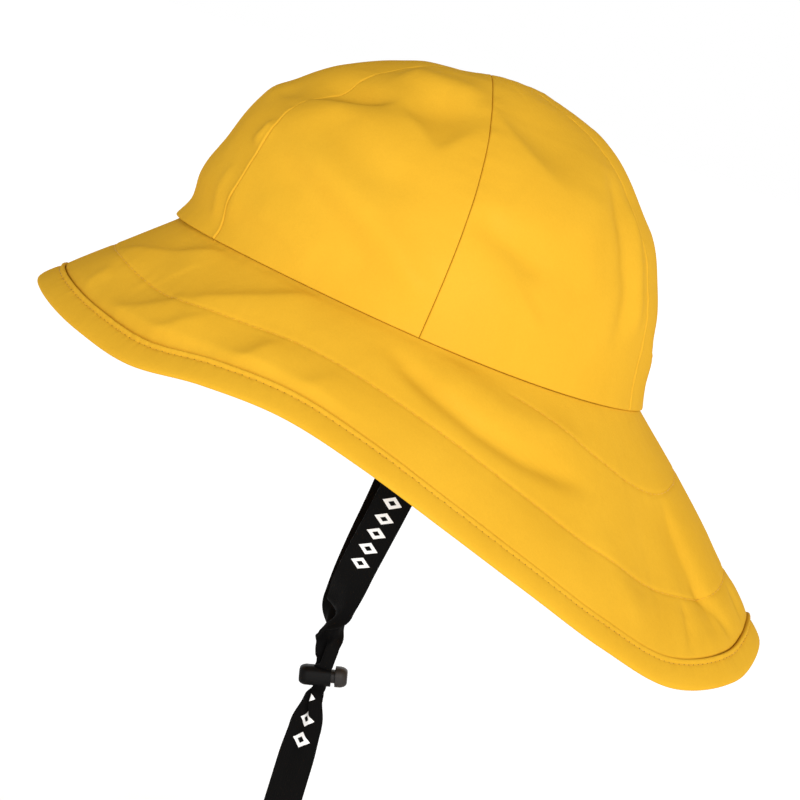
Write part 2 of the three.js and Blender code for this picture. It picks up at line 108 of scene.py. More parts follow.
# Dents in the crown, shallower than the part's where folds share their place: azimuth, climb,
# degrees across, share along, share of the deepest dent. A negative one stands out.
CROWN_DENTS = (
    (79, 0.60, 15, 0.07, 0.45),
    (118, 0.60, 17, 0.11, 0.25),
    (46, 0.53, 19, 0.05, 0.60),
    (40, 0.38, 9, 0.06, -0.35),
    (118, 0.25, 12, 0.06, 0.30),
    (6, 0.44, 12, 0.07, 0.12),
    (-52, 0.50, 15, 0.08, 0.75),
    (-84, 0.60, 13, 0.07, 0.65),
    (-125, 0.55, 16, 0.10, 0.90),
    (-70, 0.24, 14, 0.06, 0.30),
    (190, 0.50, 10, 0.08, 0.20),
)

# Folds in the crown: (azimuth, climb) along the fold, its kind, its half width and its height.
# A swell is soft on both sides and a crease crisp; a negative height is a valley. A break and a
# ledge have a left side, which looks up where the azimuth rises: a break turns the cloth in sharply
# there and keeps the right side as it is, and a ledge falls off fast there and slowly to the right.
CROWN_FOLDS = (
    (((30, 0.41), (38, 0.45), (48, 0.48), (57, 0.52), (65, 0.57)), "break", 8.0, 2.8),
    (((56, 0.56), (66, 0.52), (74, 0.485), (82, 0.44), (89, 0.52), (96, 0.62)), "break", 17.0, 4.6),
    (((87, 0.75), (96, 0.68), (104, 0.60), (111, 0.535), (118, 0.475), (128, 0.40)), "break", 26.0, 5.4),
    (((6, 0.42), (14, 0.41), (22, 0.41), (32, 0.43)), "break", 6.0, 1.6),
    (((35.8, 0.02), (35, 0.14), (34.4, 0.28), (34, 0.46)), "crease", 13, 1.7),
    (((92.6, 0.02), (95, 0.25), (96, 0.48), (95.5, 0.66)), "crease", 13, 1.0),
    (((159, 0.04), (160, 0.25), (161, 0.50)), "crease", 10, 0.8),
    (((-34, 0.02), (-34, 0.24), (-34, 0.46)), "crease", 13, 1.6),
    (((-92.6, 0.02), (-95, 0.25), (-96, 0.48), (-95.5, 0.66)), "crease", 13, 1.0),
    (((-159, 0.04), (-160, 0.25), (-161, 0.50)), "crease", 10, 0.8),
    (((34, 0.34), (54, 0.29), (70, 0.23), (79, 0.18), (88, 0.11), (92, 0.03)), "swell", 7, 2.3),
    (((38, 0.25), (56, 0.21), (70, 0.14), (82, 0.05)), "swell", 6, -1.7),
    (((40, 0.14), (56, 0.10), (66, 0.05)), "swell", 7, 1.0),
    (((44, 0.44), (56, 0.38), (70, 0.33), (86, 0.30)), "swell", 7, -1.7),
    (((30, 0.26), (31.5, 0.30), (32, 0.34)), "crease", 4, 2.2),
    (((96, 0.33), (104, 0.285), (112, 0.27), (120, 0.22)), "swell", 6, -1.9),
    (((100, 0.20), (112, 0.13), (126, 0.10)), "swell", 9, 0.7),
    (((153, 0.60), (146, 0.42), (147, 0.25), (144, 0.10)), "swell", 4.5, -1.8),
    (((158, 0.50), (154, 0.33), (153, 0.14)), "swell", 4.0, 1.6),
    (((136, 0.50), (131, 0.36), (130, 0.22)), "swell", 8, 1.0),
    (((28, 0.20), (27, 0.12), (30, 0.03)), "crease", 4, 1.0),
    (((-14, 0.30), (2, 0.24), (18, 0.27)), "swell", 9, -0.9),
    (((-96, 0.60), (-84, 0.45), (-72, 0.43), (-60, 0.48), (-46, 0.50), (-34, 0.44)), "break", 7.0, 3.2),
    (((-130, 0.42), (-120, 0.46), (-110, 0.52), (-98, 0.64)), "break", 8.0, 3.2),
    (((-40, 0.32), (-56, 0.27), (-72, 0.18), (-86, 0.08)), "swell", 7, 1.3),
    (((-44, 0.20), (-60, 0.15), (-74, 0.07)), "swell", 7, -0.9),
    (((-98, 0.36), (-110, 0.30), (-124, 0.28)), "swell", 7, -1.2),
    (((-152, 0.52), (-146, 0.36), (-148, 0.20)), "swell", 6, -1.2),
    (((186, 0.42), (198, 0.44), (210, 0.50)), "break", 8.0, 2.4),
    (((184, 0.28), (194, 0.22), (204, 0.26)), "swell", 8, -1.1),
    (((70, 0.82), (105, 0.90), (145, 0.93), (185, 0.92), (225, 0.87), (250, 0.80)), "swell", 12, 3.0),
    (((-20, 0.43), (0, 0.415), (20, 0.43)), "swell", 7, 1.4),
    (((163, 0.16), (176, 0.11), (192, 0.14)), "swell", 7, 0.8),
    (((-30, 0.70), (-60, 0.74), (-100, 0.72), (-130, 0.76)), "swell", 8, 1.0),
    (((40, 0.70), (56, 0.71), (74, 0.72), (92, 0.70)), "swell", 7, 2.0),
)

# The brim round one side: azimuth, share of the reach, share of the drop, and how far the long
# stitched row lies in from the edge, in band widths. Behind azimuth 135 the row follows the
# photograph more closely than the part's.
BRIM_STATIONS = np.array([
    (0, 0.636, 0.440, 2.75), (30, 0.570, 0.522, 2.70),
    (45, 0.557, 0.546, 2.67), (60, 0.548, 0.489, 2.65),
    (75, 0.550, 0.470, 2.70), (90, 0.560, 0.535, 2.80),
    (105, 0.610, 0.641, 2.92), (120, 0.672, 0.766, 3.05),
    (135, 0.744, 0.901, 3.15), (150, 0.853, 1.000, 3.25),
    (165, 0.975, 0.936, 2.85), (180, 1.000, 0.806, 2.72),
])

# Broad folds of the brim that the part has too: azimuth, degrees across, place and length as
# shares of the way out, and height as a share of the highest
BRIM_SWELLS = (
    (30, 7, 0.35, 0.35, -0.8),
    (44, 7, 0.55, 0.40, 0.7),
    (60, 6, 0.75, 0.30, -0.7),
    (105, 10, 0.45, 0.35, 0.6),
    (152, 6, 0.75, 0.40, -0.9),
    (168, 6, 0.80, 0.40, 0.6),
    (-24, 8, 0.50, 0.40, -0.7),
    (-58, 8, 0.60, 0.35, 0.8),
    (-96, 9, 0.50, 0.35, -0.6),
    (-150, 8, 0.70, 0.40, 0.8),
)

# Narrow folds of the brim: (azimuth, share of the way out to the band) along the fold, then its kind,
# half width and height as for the crown
BRIM_FOLDS = (
    (((4, 0.70), (14, 0.53), (22, 0.39), (31, 0.25), (40, 0.08), (44, 0.00)), "ledge", 3.0, 3.0),
    (((40, 0.68), (46, 0.57), (53, 0.43), (60, 0.29), (67, 0.10), (71, 0.00)), "ledge", 3.0, 3.2),
    (((27, 1.08), (32, 0.95), (38, 0.80), (43, 0.64), (46, 0.48)), "ledge", 2.5, 2.3),
    (((38, 1.10), (42, 1.00), (46, 0.89), (50, 0.75), (56, 0.56)), "ledge", 2.7, 2.7),
    (((57, 1.12), (61, 1.00), (64, 0.89), (66, 0.74), (70, 0.52)), "ledge", 2.8, 2.8),
    (((70, 1.12), (73, 1.02), (76, 0.92), (78, 0.80), (81, 0.60)), "ledge", 2.7, 2.2),
    (((21, 1.00), (20, 0.84), (22, 0.68)), "swell", 4.0, 0.8),
    (((84, 0.14), (92, 0.29), (99, 0.38), (108, 0.45), (118, 0.46), (128, 0.43), (138, 0.41)),
     "swell", 4.6, -2.9),
    (((96, 0.06), (104, 0.18), (114, 0.25), (126, 0.24), (138, 0.19)), "swell", 7.5, 1.8),
    (((156, 0.20), (161, 0.40), (162, 0.55), (163, 0.68), (164, 0.80), (164, 0.91), (163, 1.08)),
     "ledge", 3.2, -3.0),
    (((162, 0.68), (164.5, 0.80), (166.5, 0.90), (168.5, 1.08)), "crease", 3.2, -1.5),
    (((158, 0.74), (156.5, 0.90), (154, 1.08)), "crease", 3.0, -1.5),
    (((174, 0.78), (173.5, 0.94), (173, 1.10)), "crease", 3.0, -1.3),
    (((136, 0.56), (140, 0.74), (145, 0.94)), "swell", 7.0, 0.8),
    (((-44, 0.00), (-36, 0.16), (-24, 0.38), (-16, 0.52)), "ledge", 2.4, 1.6),
    (((-70, 0.12), (-56, 0.40), (-44, 0.68), (-34, 0.98)), "ledge", 2.4, 1.9),
    (((-62, 0.56), (-55, 0.78), (-46, 1.04)), "ledge", 2.0, 1.6),
    (((-72, 0.52), (-66, 0.76), (-60, 1.02)), "swell", 4.0, 1.3),
    (((-84, 0.56), (-78, 0.80), (-71, 1.06)), "ledge", 2.2, 1.8),
    (((-90, 0.12), (-104, 0.34), (-118, 0.45), (-138, 0.42)), "swell", 5.5, -2.4),
    (((-100, 0.08), (-112, 0.20), (-128, 0.20)), "swell", 7.5, 1.6),
    (((-146, 0.30), (-152, 0.52), (-156, 0.80), (-158, 1.05)), "swell", 5.0, -2.3),
    (((-166, 0.40), (-171, 0.66), (-175, 1.00)), "swell", 5.5, 1.4),
    (((177, 0.60), (180, 0.80), (182, 1.05)), "crease", 4.0, -1.2),
)

# How strongly the band's rolled ridge stands up round one side: azimuth, share
RIDGE_BY_AZIMUTH = np.array([
    (0, 0.60), (30, 0.85), (60, 0.80), (80, 0.45), (95, 0.16),
    (115, 0.05), (140, 0.05), (155, 0.20), (168, 0.70), (180, 1.00),
])

# One leg of the chin strap to the lock, near the part's plain one but twisted and pleated: share down,
# share of the spread, lean back in strap widths, gather from flat to pleated, and half turns of twist
# on the near and the far leg
STRAP_LEG = (
    (0.030, 0.995, 0.02, 0.00, 0.00, 0.00),
    (0.160, 0.905, 0.20, 0.00, 0.00, 0.00),
    (0.330, 0.725, 0.23, 0.00, 0.00, 0.00),
    (0.500, 0.530, 0.02, 0.00, 0.00, 0.00),
    (0.680, 0.300, -0.24, 0.01, 0.02, -0.01),
    (0.790, 0.150, -0.34, 0.12, 0.16, -0.12),
    (0.865, 0.072, -0.35, 0.42, 0.62, -0.56),
    (0.915, 0.052, -0.31, 0.58, 0.95, -0.93),
    (0.955, 0.046, -0.27, 0.64, 1.00, -1.00),
)

# The same leg below the lock: share of the tail's length, spread as a share of it, lean back in
# strap widths, and gather
STRAP_TAIL_LEG = (
    (0.105, 0.026, 0.00, 0.66),
    (0.240, 0.032, 0.03, 0.26),
    (0.420, 0.040, 0.05, 0.05),
    (0.620, 0.050, 0.07, 0.00),
    (0.820, 0.060, 0.08, 0.00),
    (0.940, 0.050, 0.08, 0.00),
)


# The camera, where the photograph's was: degrees, metres, and pixels of the picture
CAMERA_YAW, CAMERA_ELEVATION, CAMERA_ROLL = 1.0, 5.3, 18.0
CAMERA_DISTANCE = 1.5
AIM_RIGHT, AIM_BELOW = 0.0066, 0.0358
FOCAL_PIXELS = 3658.5
PICTURE_PIXELS = 800


def studio_camera():
    """Stands off the wearer's left, a little above level, and is rolled as the photograph is."""
    yaw, elevation, roll = (math.radians(x) for x in (CAMERA_YAW, CAMERA_ELEVATION, CAMERA_ROLL))
    toward = Vector((
        math.cos(elevation) * math.cos(yaw),
        -math.cos(elevation) * math.sin(yaw),
        math.sin(elevation),
    ))
    level_right = Vector((math.sin(yaw), math.cos(yaw), 0))
    level_up = toward.cross(level_right)
    target = level_right * AIM_RIGHT - level_up * AIM_BELOW
    right = level_right * math.cos(roll) + level_up * math.sin(roll)
    up = level_up * math.cos(roll) - level_right * math.sin(roll)
    data = bpy.data.cameras.new("studio_camera")
    data.sensor_width = 36.0
    data.lens = FOCAL_PIXELS / PICTURE_PIXELS * data.sensor_width
    data.clip_start, data.clip_end = 0.05, 100
    camera = bpy.data.objects.new("studio_camera", data)
    bpy.context.scene.collection.objects.link(camera)
    turn = Matrix((right, up, toward)).transposed().to_4x4()
    camera.matrix_world = Matrix.Translation(target + toward * CAMERA_DISTANCE) @ turn
    bpy.context.scene.camera = camera


studio_camera()


# The hat's surfaces, as the part works them out
HEAD_MIDDLE = np.array([0.0, 0.0, 20.0])
NORMAL_TOP = 0.985         # normals are taken no nearer to the crown's top than this climb
NORMAL_ABOVE, NORMAL_BELOW = 0.99, 0.97
AZIMUTH_STEP, CLIMB_STEP = 0.5, 0.01
def smoothstep(value):
    """Rises smoothly from 0 to 1 while the value does."""
    t = np.clip(value, 0, 1)
    return t * t * (3 - 2 * t)


def between(rows, column, at, level_ends=False):
    """A smooth value between the rows of a table, looked up by its first column."""
    keys, values = rows[:, 0], rows[:, column]
    slopes = np.empty(len(keys))
    slopes[1:-1] = (values[2:] - values[:-2]) / (keys[2:] - keys[:-2])
    share = 0.0 if level_ends else 1.0
    slopes[0] = share * (values[1] - values[0]) / (keys[1] - keys[0])
    slopes[-1] = share * (values[-1] - values[-2]) / (keys[-1] - keys[-2])
    i = np.clip(np.searchsorted(keys, at) - 1, 0, len(keys) - 2)
    step = keys[i + 1] - keys[i]
    t = (at - keys[i]) / step
    t2, t3 = t * t, t * t * t
    left = (2 * t3 - 3 * t2 + 1) * values[i] + (t3 - 2 * t2 + t) * step * slopes[i]
    right = (3 * t2 - 2 * t3) * values[i + 1] + (t3 - t2) * step * slopes[i + 1]
    return left + right


def turned(start, end):
    """Degrees from one azimuth to another, from -180 to 180."""
    return (end - start + 180) % 360 - 180


def unit(vectors):
    """The same directions at length 1."""
    return vectors / np.linalg.norm(vectors, axis=-1, keepdims=True)


def bumps(rows, azimuth, along):
    """The sum of round soft bumps. Each row has its azimuth, place, degrees across, length and height."""
    total = np.zeros(np.broadcast(azimuth, along).shape)
    for middle, place, across, length, height in rows:
        total += height * np.exp(-(turned(middle, azimuth) / across) ** 2 - ((along - place) / length) ** 2)
    return total


def seam_height(azimuth):
    """How high the seam between crown and brim runs: it falls to the back and sags at the sides."""
    forward = np.cos(np.radians(azimuth))
    return SEAM_FALL * forward - SEAM_SAG * (1 - forward ** 2) * (1 - forward)


def smooth_crown(azimuth, climb):
    """A point of the crown's surface before its puff, dents and folds."""
    a = np.radians(azimuth)
    height, front, side, back = (between(CROWN_SECTIONS, k, climb) for k in (1, 2, 3, 4))
    frontness = (1 + np.cos(a)) / 2
    length = front * frontness + back * (1 - frontness)
    foot = seam_height(azimuth)
    return np.stack([
        HEAD_HALF_WIDTH * side * np.sin(a),
        -HEAD_HALF_LENGTH * length * np.cos(a),
        foot + (CROWN_HEIGHT - foot) * height,
    ], axis=-1)


def crown_normal(azimuth, climb):
    """The direction straight out of the crown's surface."""
    level = np.minimum(climb, NORMAL_TOP)
    around = smooth_crown(azimuth + AZIMUTH_STEP, level) - smooth_crown(azimuth - AZIMUTH_STEP, level)
    above = smooth_crown(azimuth, np.minimum(climb + CLIMB_STEP, NORMAL_ABOVE))
    below = smooth_crown(azimuth, np.clip(climb - CLIMB_STEP, 0, NORMAL_BELOW))
    return unit(np.cross(around, above - below))


def level_out(azimuth):
    """The level direction straight out from the crown's lower edge."""
    a = np.radians(azimuth)
    return unit(np.stack([np.sin(a) / HEAD_HALF_WIDTH, -np.cos(a) / HEAD_HALF_LENGTH, 0 * a], axis=-1))


def seam_point(azimuth):
    """A point of the seam between crown and brim."""
    a = np.radians(azimuth)
    x, y = HEAD_HALF_WIDTH * np.sin(a), -HEAD_HALF_LENGTH * np.cos(a)
    return np.stack([x, y, seam_height(azimuth)], axis=-1)


def brim_frame(azimuth):
    """The brim's start at the crown, its directions outward and up, its width, and its long row's place."""
    side = np.abs(turned(0, azimuth))
    reach = BRIM_REACH * between(BRIM_STATIONS, 1, side, True)
    drop = BRIM_DROP * between(BRIM_STATIONS, 2, side, True)
    width = np.hypot(reach, drop)
    level = level_out(azimuth)
    z = np.array([0.0, 0.0, 1.0])
    out = level * (reach / width)[..., None] - z * (drop / width)[..., None]
    up = level * (drop / width)[..., None] + z * (reach / width)[..., None]
    start = seam_point(azimuth) - level * CLOTH_WALL / 2 - z * SEAM_GAP
    return start, out, up, width, BAND_WIDTH * between(BRIM_STATIONS, 3, side, True)


def smooth_brim(azimuth, share):
    """A point of the brim's plane, by its share of the way out to the band."""
    start, out, _, width, _ = brim_frame(azimuth)
    return start + out * ((width - BAND_WIDTH) * share)[..., None]


FOLD_STOPS = 34            # places along each stretch of a fold
FOLD_LOOKED_FOR = 110.0    # a fold is only looked for this near its own middle
FOLD_ENDS = 0.25           # share of a fold's length over which each end dies out
FOLD_TIPS = 0.06           # share at each end of a break or ledge over which it is gone altogether
CREST_ROUND = 0.9          # millimetres over which the crest of a crease or break is rounded
CREASE_SHARPNESS = 0.62    # a crease falls off over this share of its half width
BREAK_BLEND = 3.5          # a break or ledge turns smoothly past the corners of its line
LEDGE_SLOW_SIDE = 4.0      # a ledge's right side falls off over this many half widths
LEDGE_ROUND = 0.5


def fold_path(line, surface):
    """A fold's line laid over a surface, with each place's share of the line."""
    knots = np.array(line, float)
    t = np.linspace(0, len(knots) - 1, FOLD_STOPS * (len(knots) - 1) + 1)
    stops = np.arange(len(knots))
    path = surface(np.interp(t, stops, knots[:, 0]), np.interp(t, stops, knots[:, 1]))
    return path, t / (len(knots) - 1)


def even_fold(points, path, shares, kind, half_width):
    """A swell or a crease, alike on both sides: how it dies out along its line, and its section."""
    gaps = np.linalg.norm(points[:, None] - path[None], axis=2)
    nearest = gaps.argmin(axis=1)
    distance, along = gaps[np.arange(len(points)), nearest], shares[nearest]
    ends = smoothstep(along / FOLD_ENDS) * smoothstep((1 - along) / FOLD_ENDS)
    if kind == "swell":
        return ends, np.exp(-(distance / half_width) ** 2)
    return ends, np.exp(-(np.hypot(distance, CREST_ROUND) - CREST_ROUND) / (CREASE_SHARPNESS * half_width))


def one_sided_fold(points, path, shares, kind, half_width):
    """A break or a ledge: how it dies out along its line, and its section from the left to the right."""
    gaps = np.linalg.norm(points[:, None] - path[None], axis=2)
    weight = np.exp((gaps.min(axis=1)[:, None] - gaps) / BREAK_BLEND)
    weight /= weight.sum(axis=1, keepdims=True)
    leftward = unit(np.cross(unit(path - HEAD_MIDDLE), unit(np.gradient(path, axis=0))))
    offsets = ((points[:, None] - path[None]) * leftward[None]).sum(axis=2)
    beyond = (offsets * weight).sum(axis=1)
    inward = np.minimum(shares, 1 - shares) - FOLD_TIPS
    ends = weight @ smoothstep(inward / FOLD_ENDS)
    corner = LEDGE_ROUND if kind == "ledge" else CREST_ROUND
    left = (beyond + np.hypot(beyond, corner)) / 2 / half_width
    if kind == "break":
        return ends, -left * np.exp(1 - left)
    right = np.maximum(-beyond, 0) / (LEDGE_SLOW_SIDE * half_width)
    return ends, np.exp(-left - right ** 2)


def fold_heights(points, folds, surface):
    """How far the folds move each point of a cloth. Each fold follows its own line over the surface."""
    total = np.zeros(points.shape[:-1])
    flat = points.reshape(-1, 3)
    for line, kind, half_width, height in folds:
        path, shares = fold_path(line, surface)
        near = np.flatnonzero(np.linalg.norm(flat - path.mean(axis=0), axis=1) < FOLD_LOOKED_FOR)
        if len(near):
            fold = even_fold if kind in ("swell", "crease") else one_sided_fold
            ends, section = fold(flat[near], path, shares, kind, half_width)
            total.reshape(-1)[near] += height * ends * section
    return total


def ripple(along, seed, waves):
    """A smooth uneven ripple along a seam, from -1 to 1, of a few wave lengths in mm."""
    phases = np.random.default_rng(seed).uniform(0, 2 * math.pi, (len(waves), 2))
    total = np.zeros(np.shape(along))
    for (phase, beat), wave in zip(phases, waves):
        strength = 0.6 + 0.4 * np.sin(along / (2.3 * wave) + beat)
        total += np.sin(2 * math.pi * along / wave + phase) * strength
    return total / len(waves)


def pucker(kind, along, gap):
    """The ripple beside a sewn row or seam, which fades with the gap to it. kind is its height,
    random seed, waves in millimetres and how far it fades over."""
    height, seed, waves, fade = kind
    return height * ripple(along, seed, waves) * np.exp(-gap / fade)


# Meshes
def cloth_grid(positions, cloth_mm, around=False, closed=False):
    """A bmesh grid set on an array of places, columns by rows, with cloth_mm as its UV map.
    around joins its last column to its first, and closed its last row to its first."""
    columns, rows = positions.shape[0] - 1, positions.shape[1] - 1
    bm = bmesh.new()
    bmesh.ops.create_grid(bm, x_segments=columns, y_segments=rows, size=0.5)
    places = {}
    for v in bm.verts:
        i, j = round((v.co.x + 0.5) * columns), round((v.co.y + 0.5) * rows)
        places[v] = (i, j)
    uv = bm.loops.layers.uv.new("cloth_mm")
    for face in bm.faces:
        face.smooth = True
        for loop in face.loops:
            loop[uv].uv = cloth_mm[places[loop.vert]]
    for v, place in places.items():
        v.co = Vector(positions[place]) * MM
    if around or closed:
        bmesh.ops.remove_doubles(bm, verts=bm.verts, dist=1e-6)
    bmesh.ops.recalc_face_normals(bm, faces=bm.faces)
    return bm


def piece(bm, name, material, body="hat", stands_for=()):
    """Turns a bmesh into a piece of the hat that rides on a body."""
    mesh = bpy.data.meshes.new(name)
    bm.to_mesh(mesh)
    bm.free()
    mesh.materials.append(material)
    made = bpy.data.objects.new(name, mesh)
    bpy.context.scene.collection.objects.link(made)
    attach(made, body)
    if stands_for:
        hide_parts(*stands_for)
    return made


def face_away(bm):
    """Turns an open cloth's faces away from the middle of the head."""
    middle = Vector(HEAD_MIDDLE) * MM
    outward = sum((f.calc_center_median() - middle).dot(f.normal) * f.calc_area() for f in bm.faces)
    if outward < 0:
        bmesh.ops.reverse_faces(bm, faces=bm.faces)


def give_wall(made, thickness):
    """Gives an open cloth its thickness, inward from its face."""
    wall = made.modifiers.new("cloth_wall", "SOLIDIFY")
    wall.thickness = thickness * MM
    wall.offset = -1
    wall.use_even_offset = False


# Materials
class Nodes:
    """A short way to wire a material's nodes."""

    def __init__(self, name):
        self.material = bpy.data.materials.new(name)
        self.material.use_nodes = True
        self.tree = self.material.node_tree
        self.shader = self.tree.nodes["Principled BSDF"]

    def add(self, kind, links=(), **settings):
        node = self.tree.nodes.new(kind)
        for key, value in settings.items():
            setattr(node, key, value)
        for socket, source in dict(links).items():
            self.tree.links.new(source, node.inputs[socket])
        return node

    def math(self, operation, a, b=None, c=None):
        node = self.add("ShaderNodeMath", operation=operation)
        for k, value in enumerate((a, b, c)):
            if value is None:
                continue
            if isinstance(value, (int, float)):
                node.inputs[k].default_value = value
            else:
                self.tree.links.new(value, node.inputs[k])
        return node.outputs[0]

    def noise(self, coordinates, scale, detail=2.0, roughness=0.5):
        node = self.add("ShaderNodeTexNoise", {"Vector": coordinates})
        node.inputs["Scale"].default_value = scale
        node.inputs["Detail"].default_value = detail
        node.inputs["Roughness"].default_value = roughness
        return node.outputs["Fac"]

    def ramp(self, value, stops):
        """A colour ramp with a colour at each stop. stops are its first and last."""
        node = self.add("ShaderNodeValToRGB", {"Fac": value})
        for element, (place, colour) in zip(node.color_ramp.elements, stops):
            element.position, element.color = place, (*colour, 1)
        return node.outputs["Color"]

    def mix(self, factor, a, b, blend="MIX"):
        node = self.add("ShaderNodeMix", data_type="RGBA", blend_type=blend)
        for socket, value in ((node.inputs[0], factor), (node.inputs[6], a), (node.inputs[7], b)):
            if isinstance(value, (int, float)):
                socket.default_value = value
            elif isinstance(value, tuple):
                socket.default_value = (*value, 1)
            else:
                self.tree.links.new(value, socket)
        return node.outputs[2]

    def bump(self, height, distance, strength=1.0, under=None):
        node = self.add("ShaderNodeBump", {"Height": height})
        node.inputs["Distance"].default_value = distance * MM
        node.inputs["Strength"].default_value = strength
        if under is not None:
            self.tree.links.new(under, node.inputs["Normal"])
        return node.outputs["Normal"]

    def uniform(self, **values):
        """Sets values that are the same all over, on the shader's own sockets."""
        for key, value in values.items():
            self.shader.inputs[key.replace("_", " ")].default_value = value
    def finish(self, colour=None, roughness=None, normal=None):
        for key, source in (("Base Color", colour), ("Roughness", roughness), ("Normal", normal)):
            if source is not None:
                self.tree.links.new(source, self.shader.inputs[key])
        return self.material


WEAVE_PITCH = 0.55         # millimetres between the cloth's threads
GREY_SPECKS = ((0.35, (0.55, 0.55, 0.55)), (0.65, (1, 1, 1)))


def coated_cloth(name, lit, deep):
    """Coated rain cloth: a fine weave under a satin skin, with small uneven creases."""
    n = Nodes(name)
    where = n.add("ShaderNodeTexCoord")
    place, cloth = where.outputs["Object"], where.outputs["UV"]
    blotches = n.noise(place, 22, 3, 0.55)
    specks = n.noise(place, 1400, 2, 0.6)
    colour = n.ramp(blotches, ((0.30, deep), (0.70, lit)))
    colour = n.mix(0.06, colour, n.ramp(specks, GREY_SPECKS), "MULTIPLY")
    split = n.add("ShaderNodeSeparateXYZ", {"Vector": cloth})
    threads = 2 * math.pi / WEAVE_PITCH
    warp = n.math("SINE", n.math("MULTIPLY", split.outputs["X"], threads))
    weft = n.math("SINE", n.math("MULTIPLY", split.outputs["Y"], threads))
    weave = n.math("MULTIPLY", warp, weft)
    creases = n.noise(place, 55, 4, 0.55)
    skin = n.noise(place, 320, 3, 0.6)
    normal = n.bump(creases, 1.6, 0.30)
    normal = n.bump(skin, 0.20, 0.25, normal)
    normal = n.bump(weave, 0.03, 0.35, normal)
    grain = n.math("MULTIPLY_ADD", skin, 0.16, 0.42)
    n.uniform(Specular_IOR_Level=0.0, Coat_Weight=0.035, Coat_Roughness=0.42)
    return n.finish(colour, grain, normal)


def sewing_thread(name, colour_a, colour_b):
    """Twisted thread, whose plies run slantwise along each stitch. In dark tones the same look also makes
    the painted shade of the needle holes.
    """
    n = Nodes(name)
    plies = n.noise(n.add("ShaderNodeTexCoord").outputs["Object"], 2600, 2, 0.5)
    n.uniform(Specular_IOR_Level=0.25)
    rough = n.math("MULTIPLY_ADD", plies, 0.2, 0.5)
    return n.finish(n.ramp(plies, ((0.35, colour_a), (0.65, colour_b))), rough, n.bump(plies, 0.08, 0.6))


RIB_PITCH, PICK_PITCH = 0.95, 0.62
MOTIF_PITCH = 9.0          # a diamond stands in the middle of each pitch of the webbing
DIAMOND_HALF_LENGTH, DIAMOND_HALF_WIDTH = 3.4, 4.2
DIAMOND_HEART = 0.42       # the diamond's open middle, as a share of its size


def woven_webbing(name, motifs):
    """Black webbing: ribs along it, crossed by finer picks, with a plain woven row of pale diamonds.
    motifs are the first and last millimetre of each decorated stretch."""
    n = Nodes(name)
    where = n.add("ShaderNodeTexCoord")
    split = n.add("ShaderNodeSeparateXYZ", {"Vector": where.outputs["UV"]})
    across, along = split.outputs["X"], split.outputs["Y"]
    rib = n.math("SINE", n.math("MULTIPLY", across, 2 * math.pi / RIB_PITCH))
    pick = n.math("SINE", n.math("MULTIPLY", along, 2 * math.pi / PICK_PITCH))
    brick = n.math("MULTIPLY", rib, pick)
    fuzz = n.noise(where.outputs["Object"], 1800, 2, 0.6)
    weave = n.math("ADD", n.math("MULTIPLY_ADD", rib, 0.5, 0.5), n.math("MULTIPLY", brick, 0.35))
    worn = n.math("MULTIPLY_ADD", n.noise(where.outputs["Object"], 60, 3, 0.5), 0.5, 0.1)
    black = n.mix(worn, (0.0022, 0.0021, 0.0021), (0.0048, 0.0045, 0.0044))
    from_start = n.math("PINGPONG", along, MOTIF_PITCH / 2)
    middle = n.math("ABSOLUTE", n.math("SUBTRACT", from_start, MOTIF_PITCH / 2))
    lengthwise = n.math("DIVIDE", middle, DIAMOND_HALF_LENGTH)
    sideways = n.math("DIVIDE", n.math("ABSOLUTE", across), DIAMOND_HALF_WIDTH)
    spread = n.math("ADD", lengthwise, sideways)
    heart = n.math("LESS_THAN", spread, DIAMOND_HEART)
    diamond = n.math("SUBTRACT", n.math("LESS_THAN", spread, 1.0), heart)
    shown = 0.0
    for first, last in motifs:
        inside = n.math("MULTIPLY", n.math("GREATER_THAN", along, first), n.math("LESS_THAN", along, last))
        shown = n.math("ADD", shown, inside)
    pale = n.math("MULTIPLY", diamond, shown)
    white = n.mix(fuzz, (0.70, 0.70, 0.69), (0.86, 0.86, 0.85))
    normal = n.bump(weave, 0.10, 0.55)
    normal = n.bump(fuzz, 0.05, 0.35, normal)
    n.uniform(Specular_IOR_Level=0.03, Sheen_Weight=0.004, Sheen_Roughness=0.5)
    return n.finish(n.mix(pale, black, white), n.math("MULTIPLY_ADD", fuzz, 0.2, 0.62), normal)


def moulded_plastic(name, dark, light, gloss, shine):
    """Moulded plastic with a fine spark-eroded grain and slightly rubbed spots."""
    n = Nodes(name)
    place = n.add("ShaderNodeTexCoord").outputs["Object"]
    grain = n.noise(place, 2400, 2, 0.55)
    rubbed = n.noise(place, 140, 3, 0.6)
    n.uniform(Specular_IOR_Level=shine)
    rough = n.math("MULTIPLY_ADD", rubbed, 0.22, gloss)
    return n.finish(n.ramp(rubbed, ((0.35, dark), (0.70, light))), rough, n.bump(grain, 0.05, 0.45))


YELLOW_CLOTH = coated_cloth("yellow_coated_cloth", (0.700, 0.380, 0.0255), (0.672, 0.358, 0.0225))
YELLOW_THREAD = sewing_thread("yellow_sewing_thread", (0.60, 0.305, 0.015), (0.72, 0.395, 0.026))
# painted shade: a dark yellow-brown for the small marks in the needle holes, standing in for the shade
# inside them
PAINTED_HOLE_SHADE = sewing_thread("painted_needle_hole_shade", (0.230, 0.105, 0.004), (0.300, 0.140, 0.006))
BARREL_PLASTIC = moulded_plastic(
    "black_moulded_plastic", (0.0022, 0.0021, 0.0021), (0.0045, 0.0043, 0.0043), 0.40, 0.07,
)
BUTTON_PLASTIC = moulded_plastic(
    "dark_grey_moulded_plastic", (0.016, 0.014, 0.013), (0.026, 0.023, 0.021), 0.42, 0.16,
)


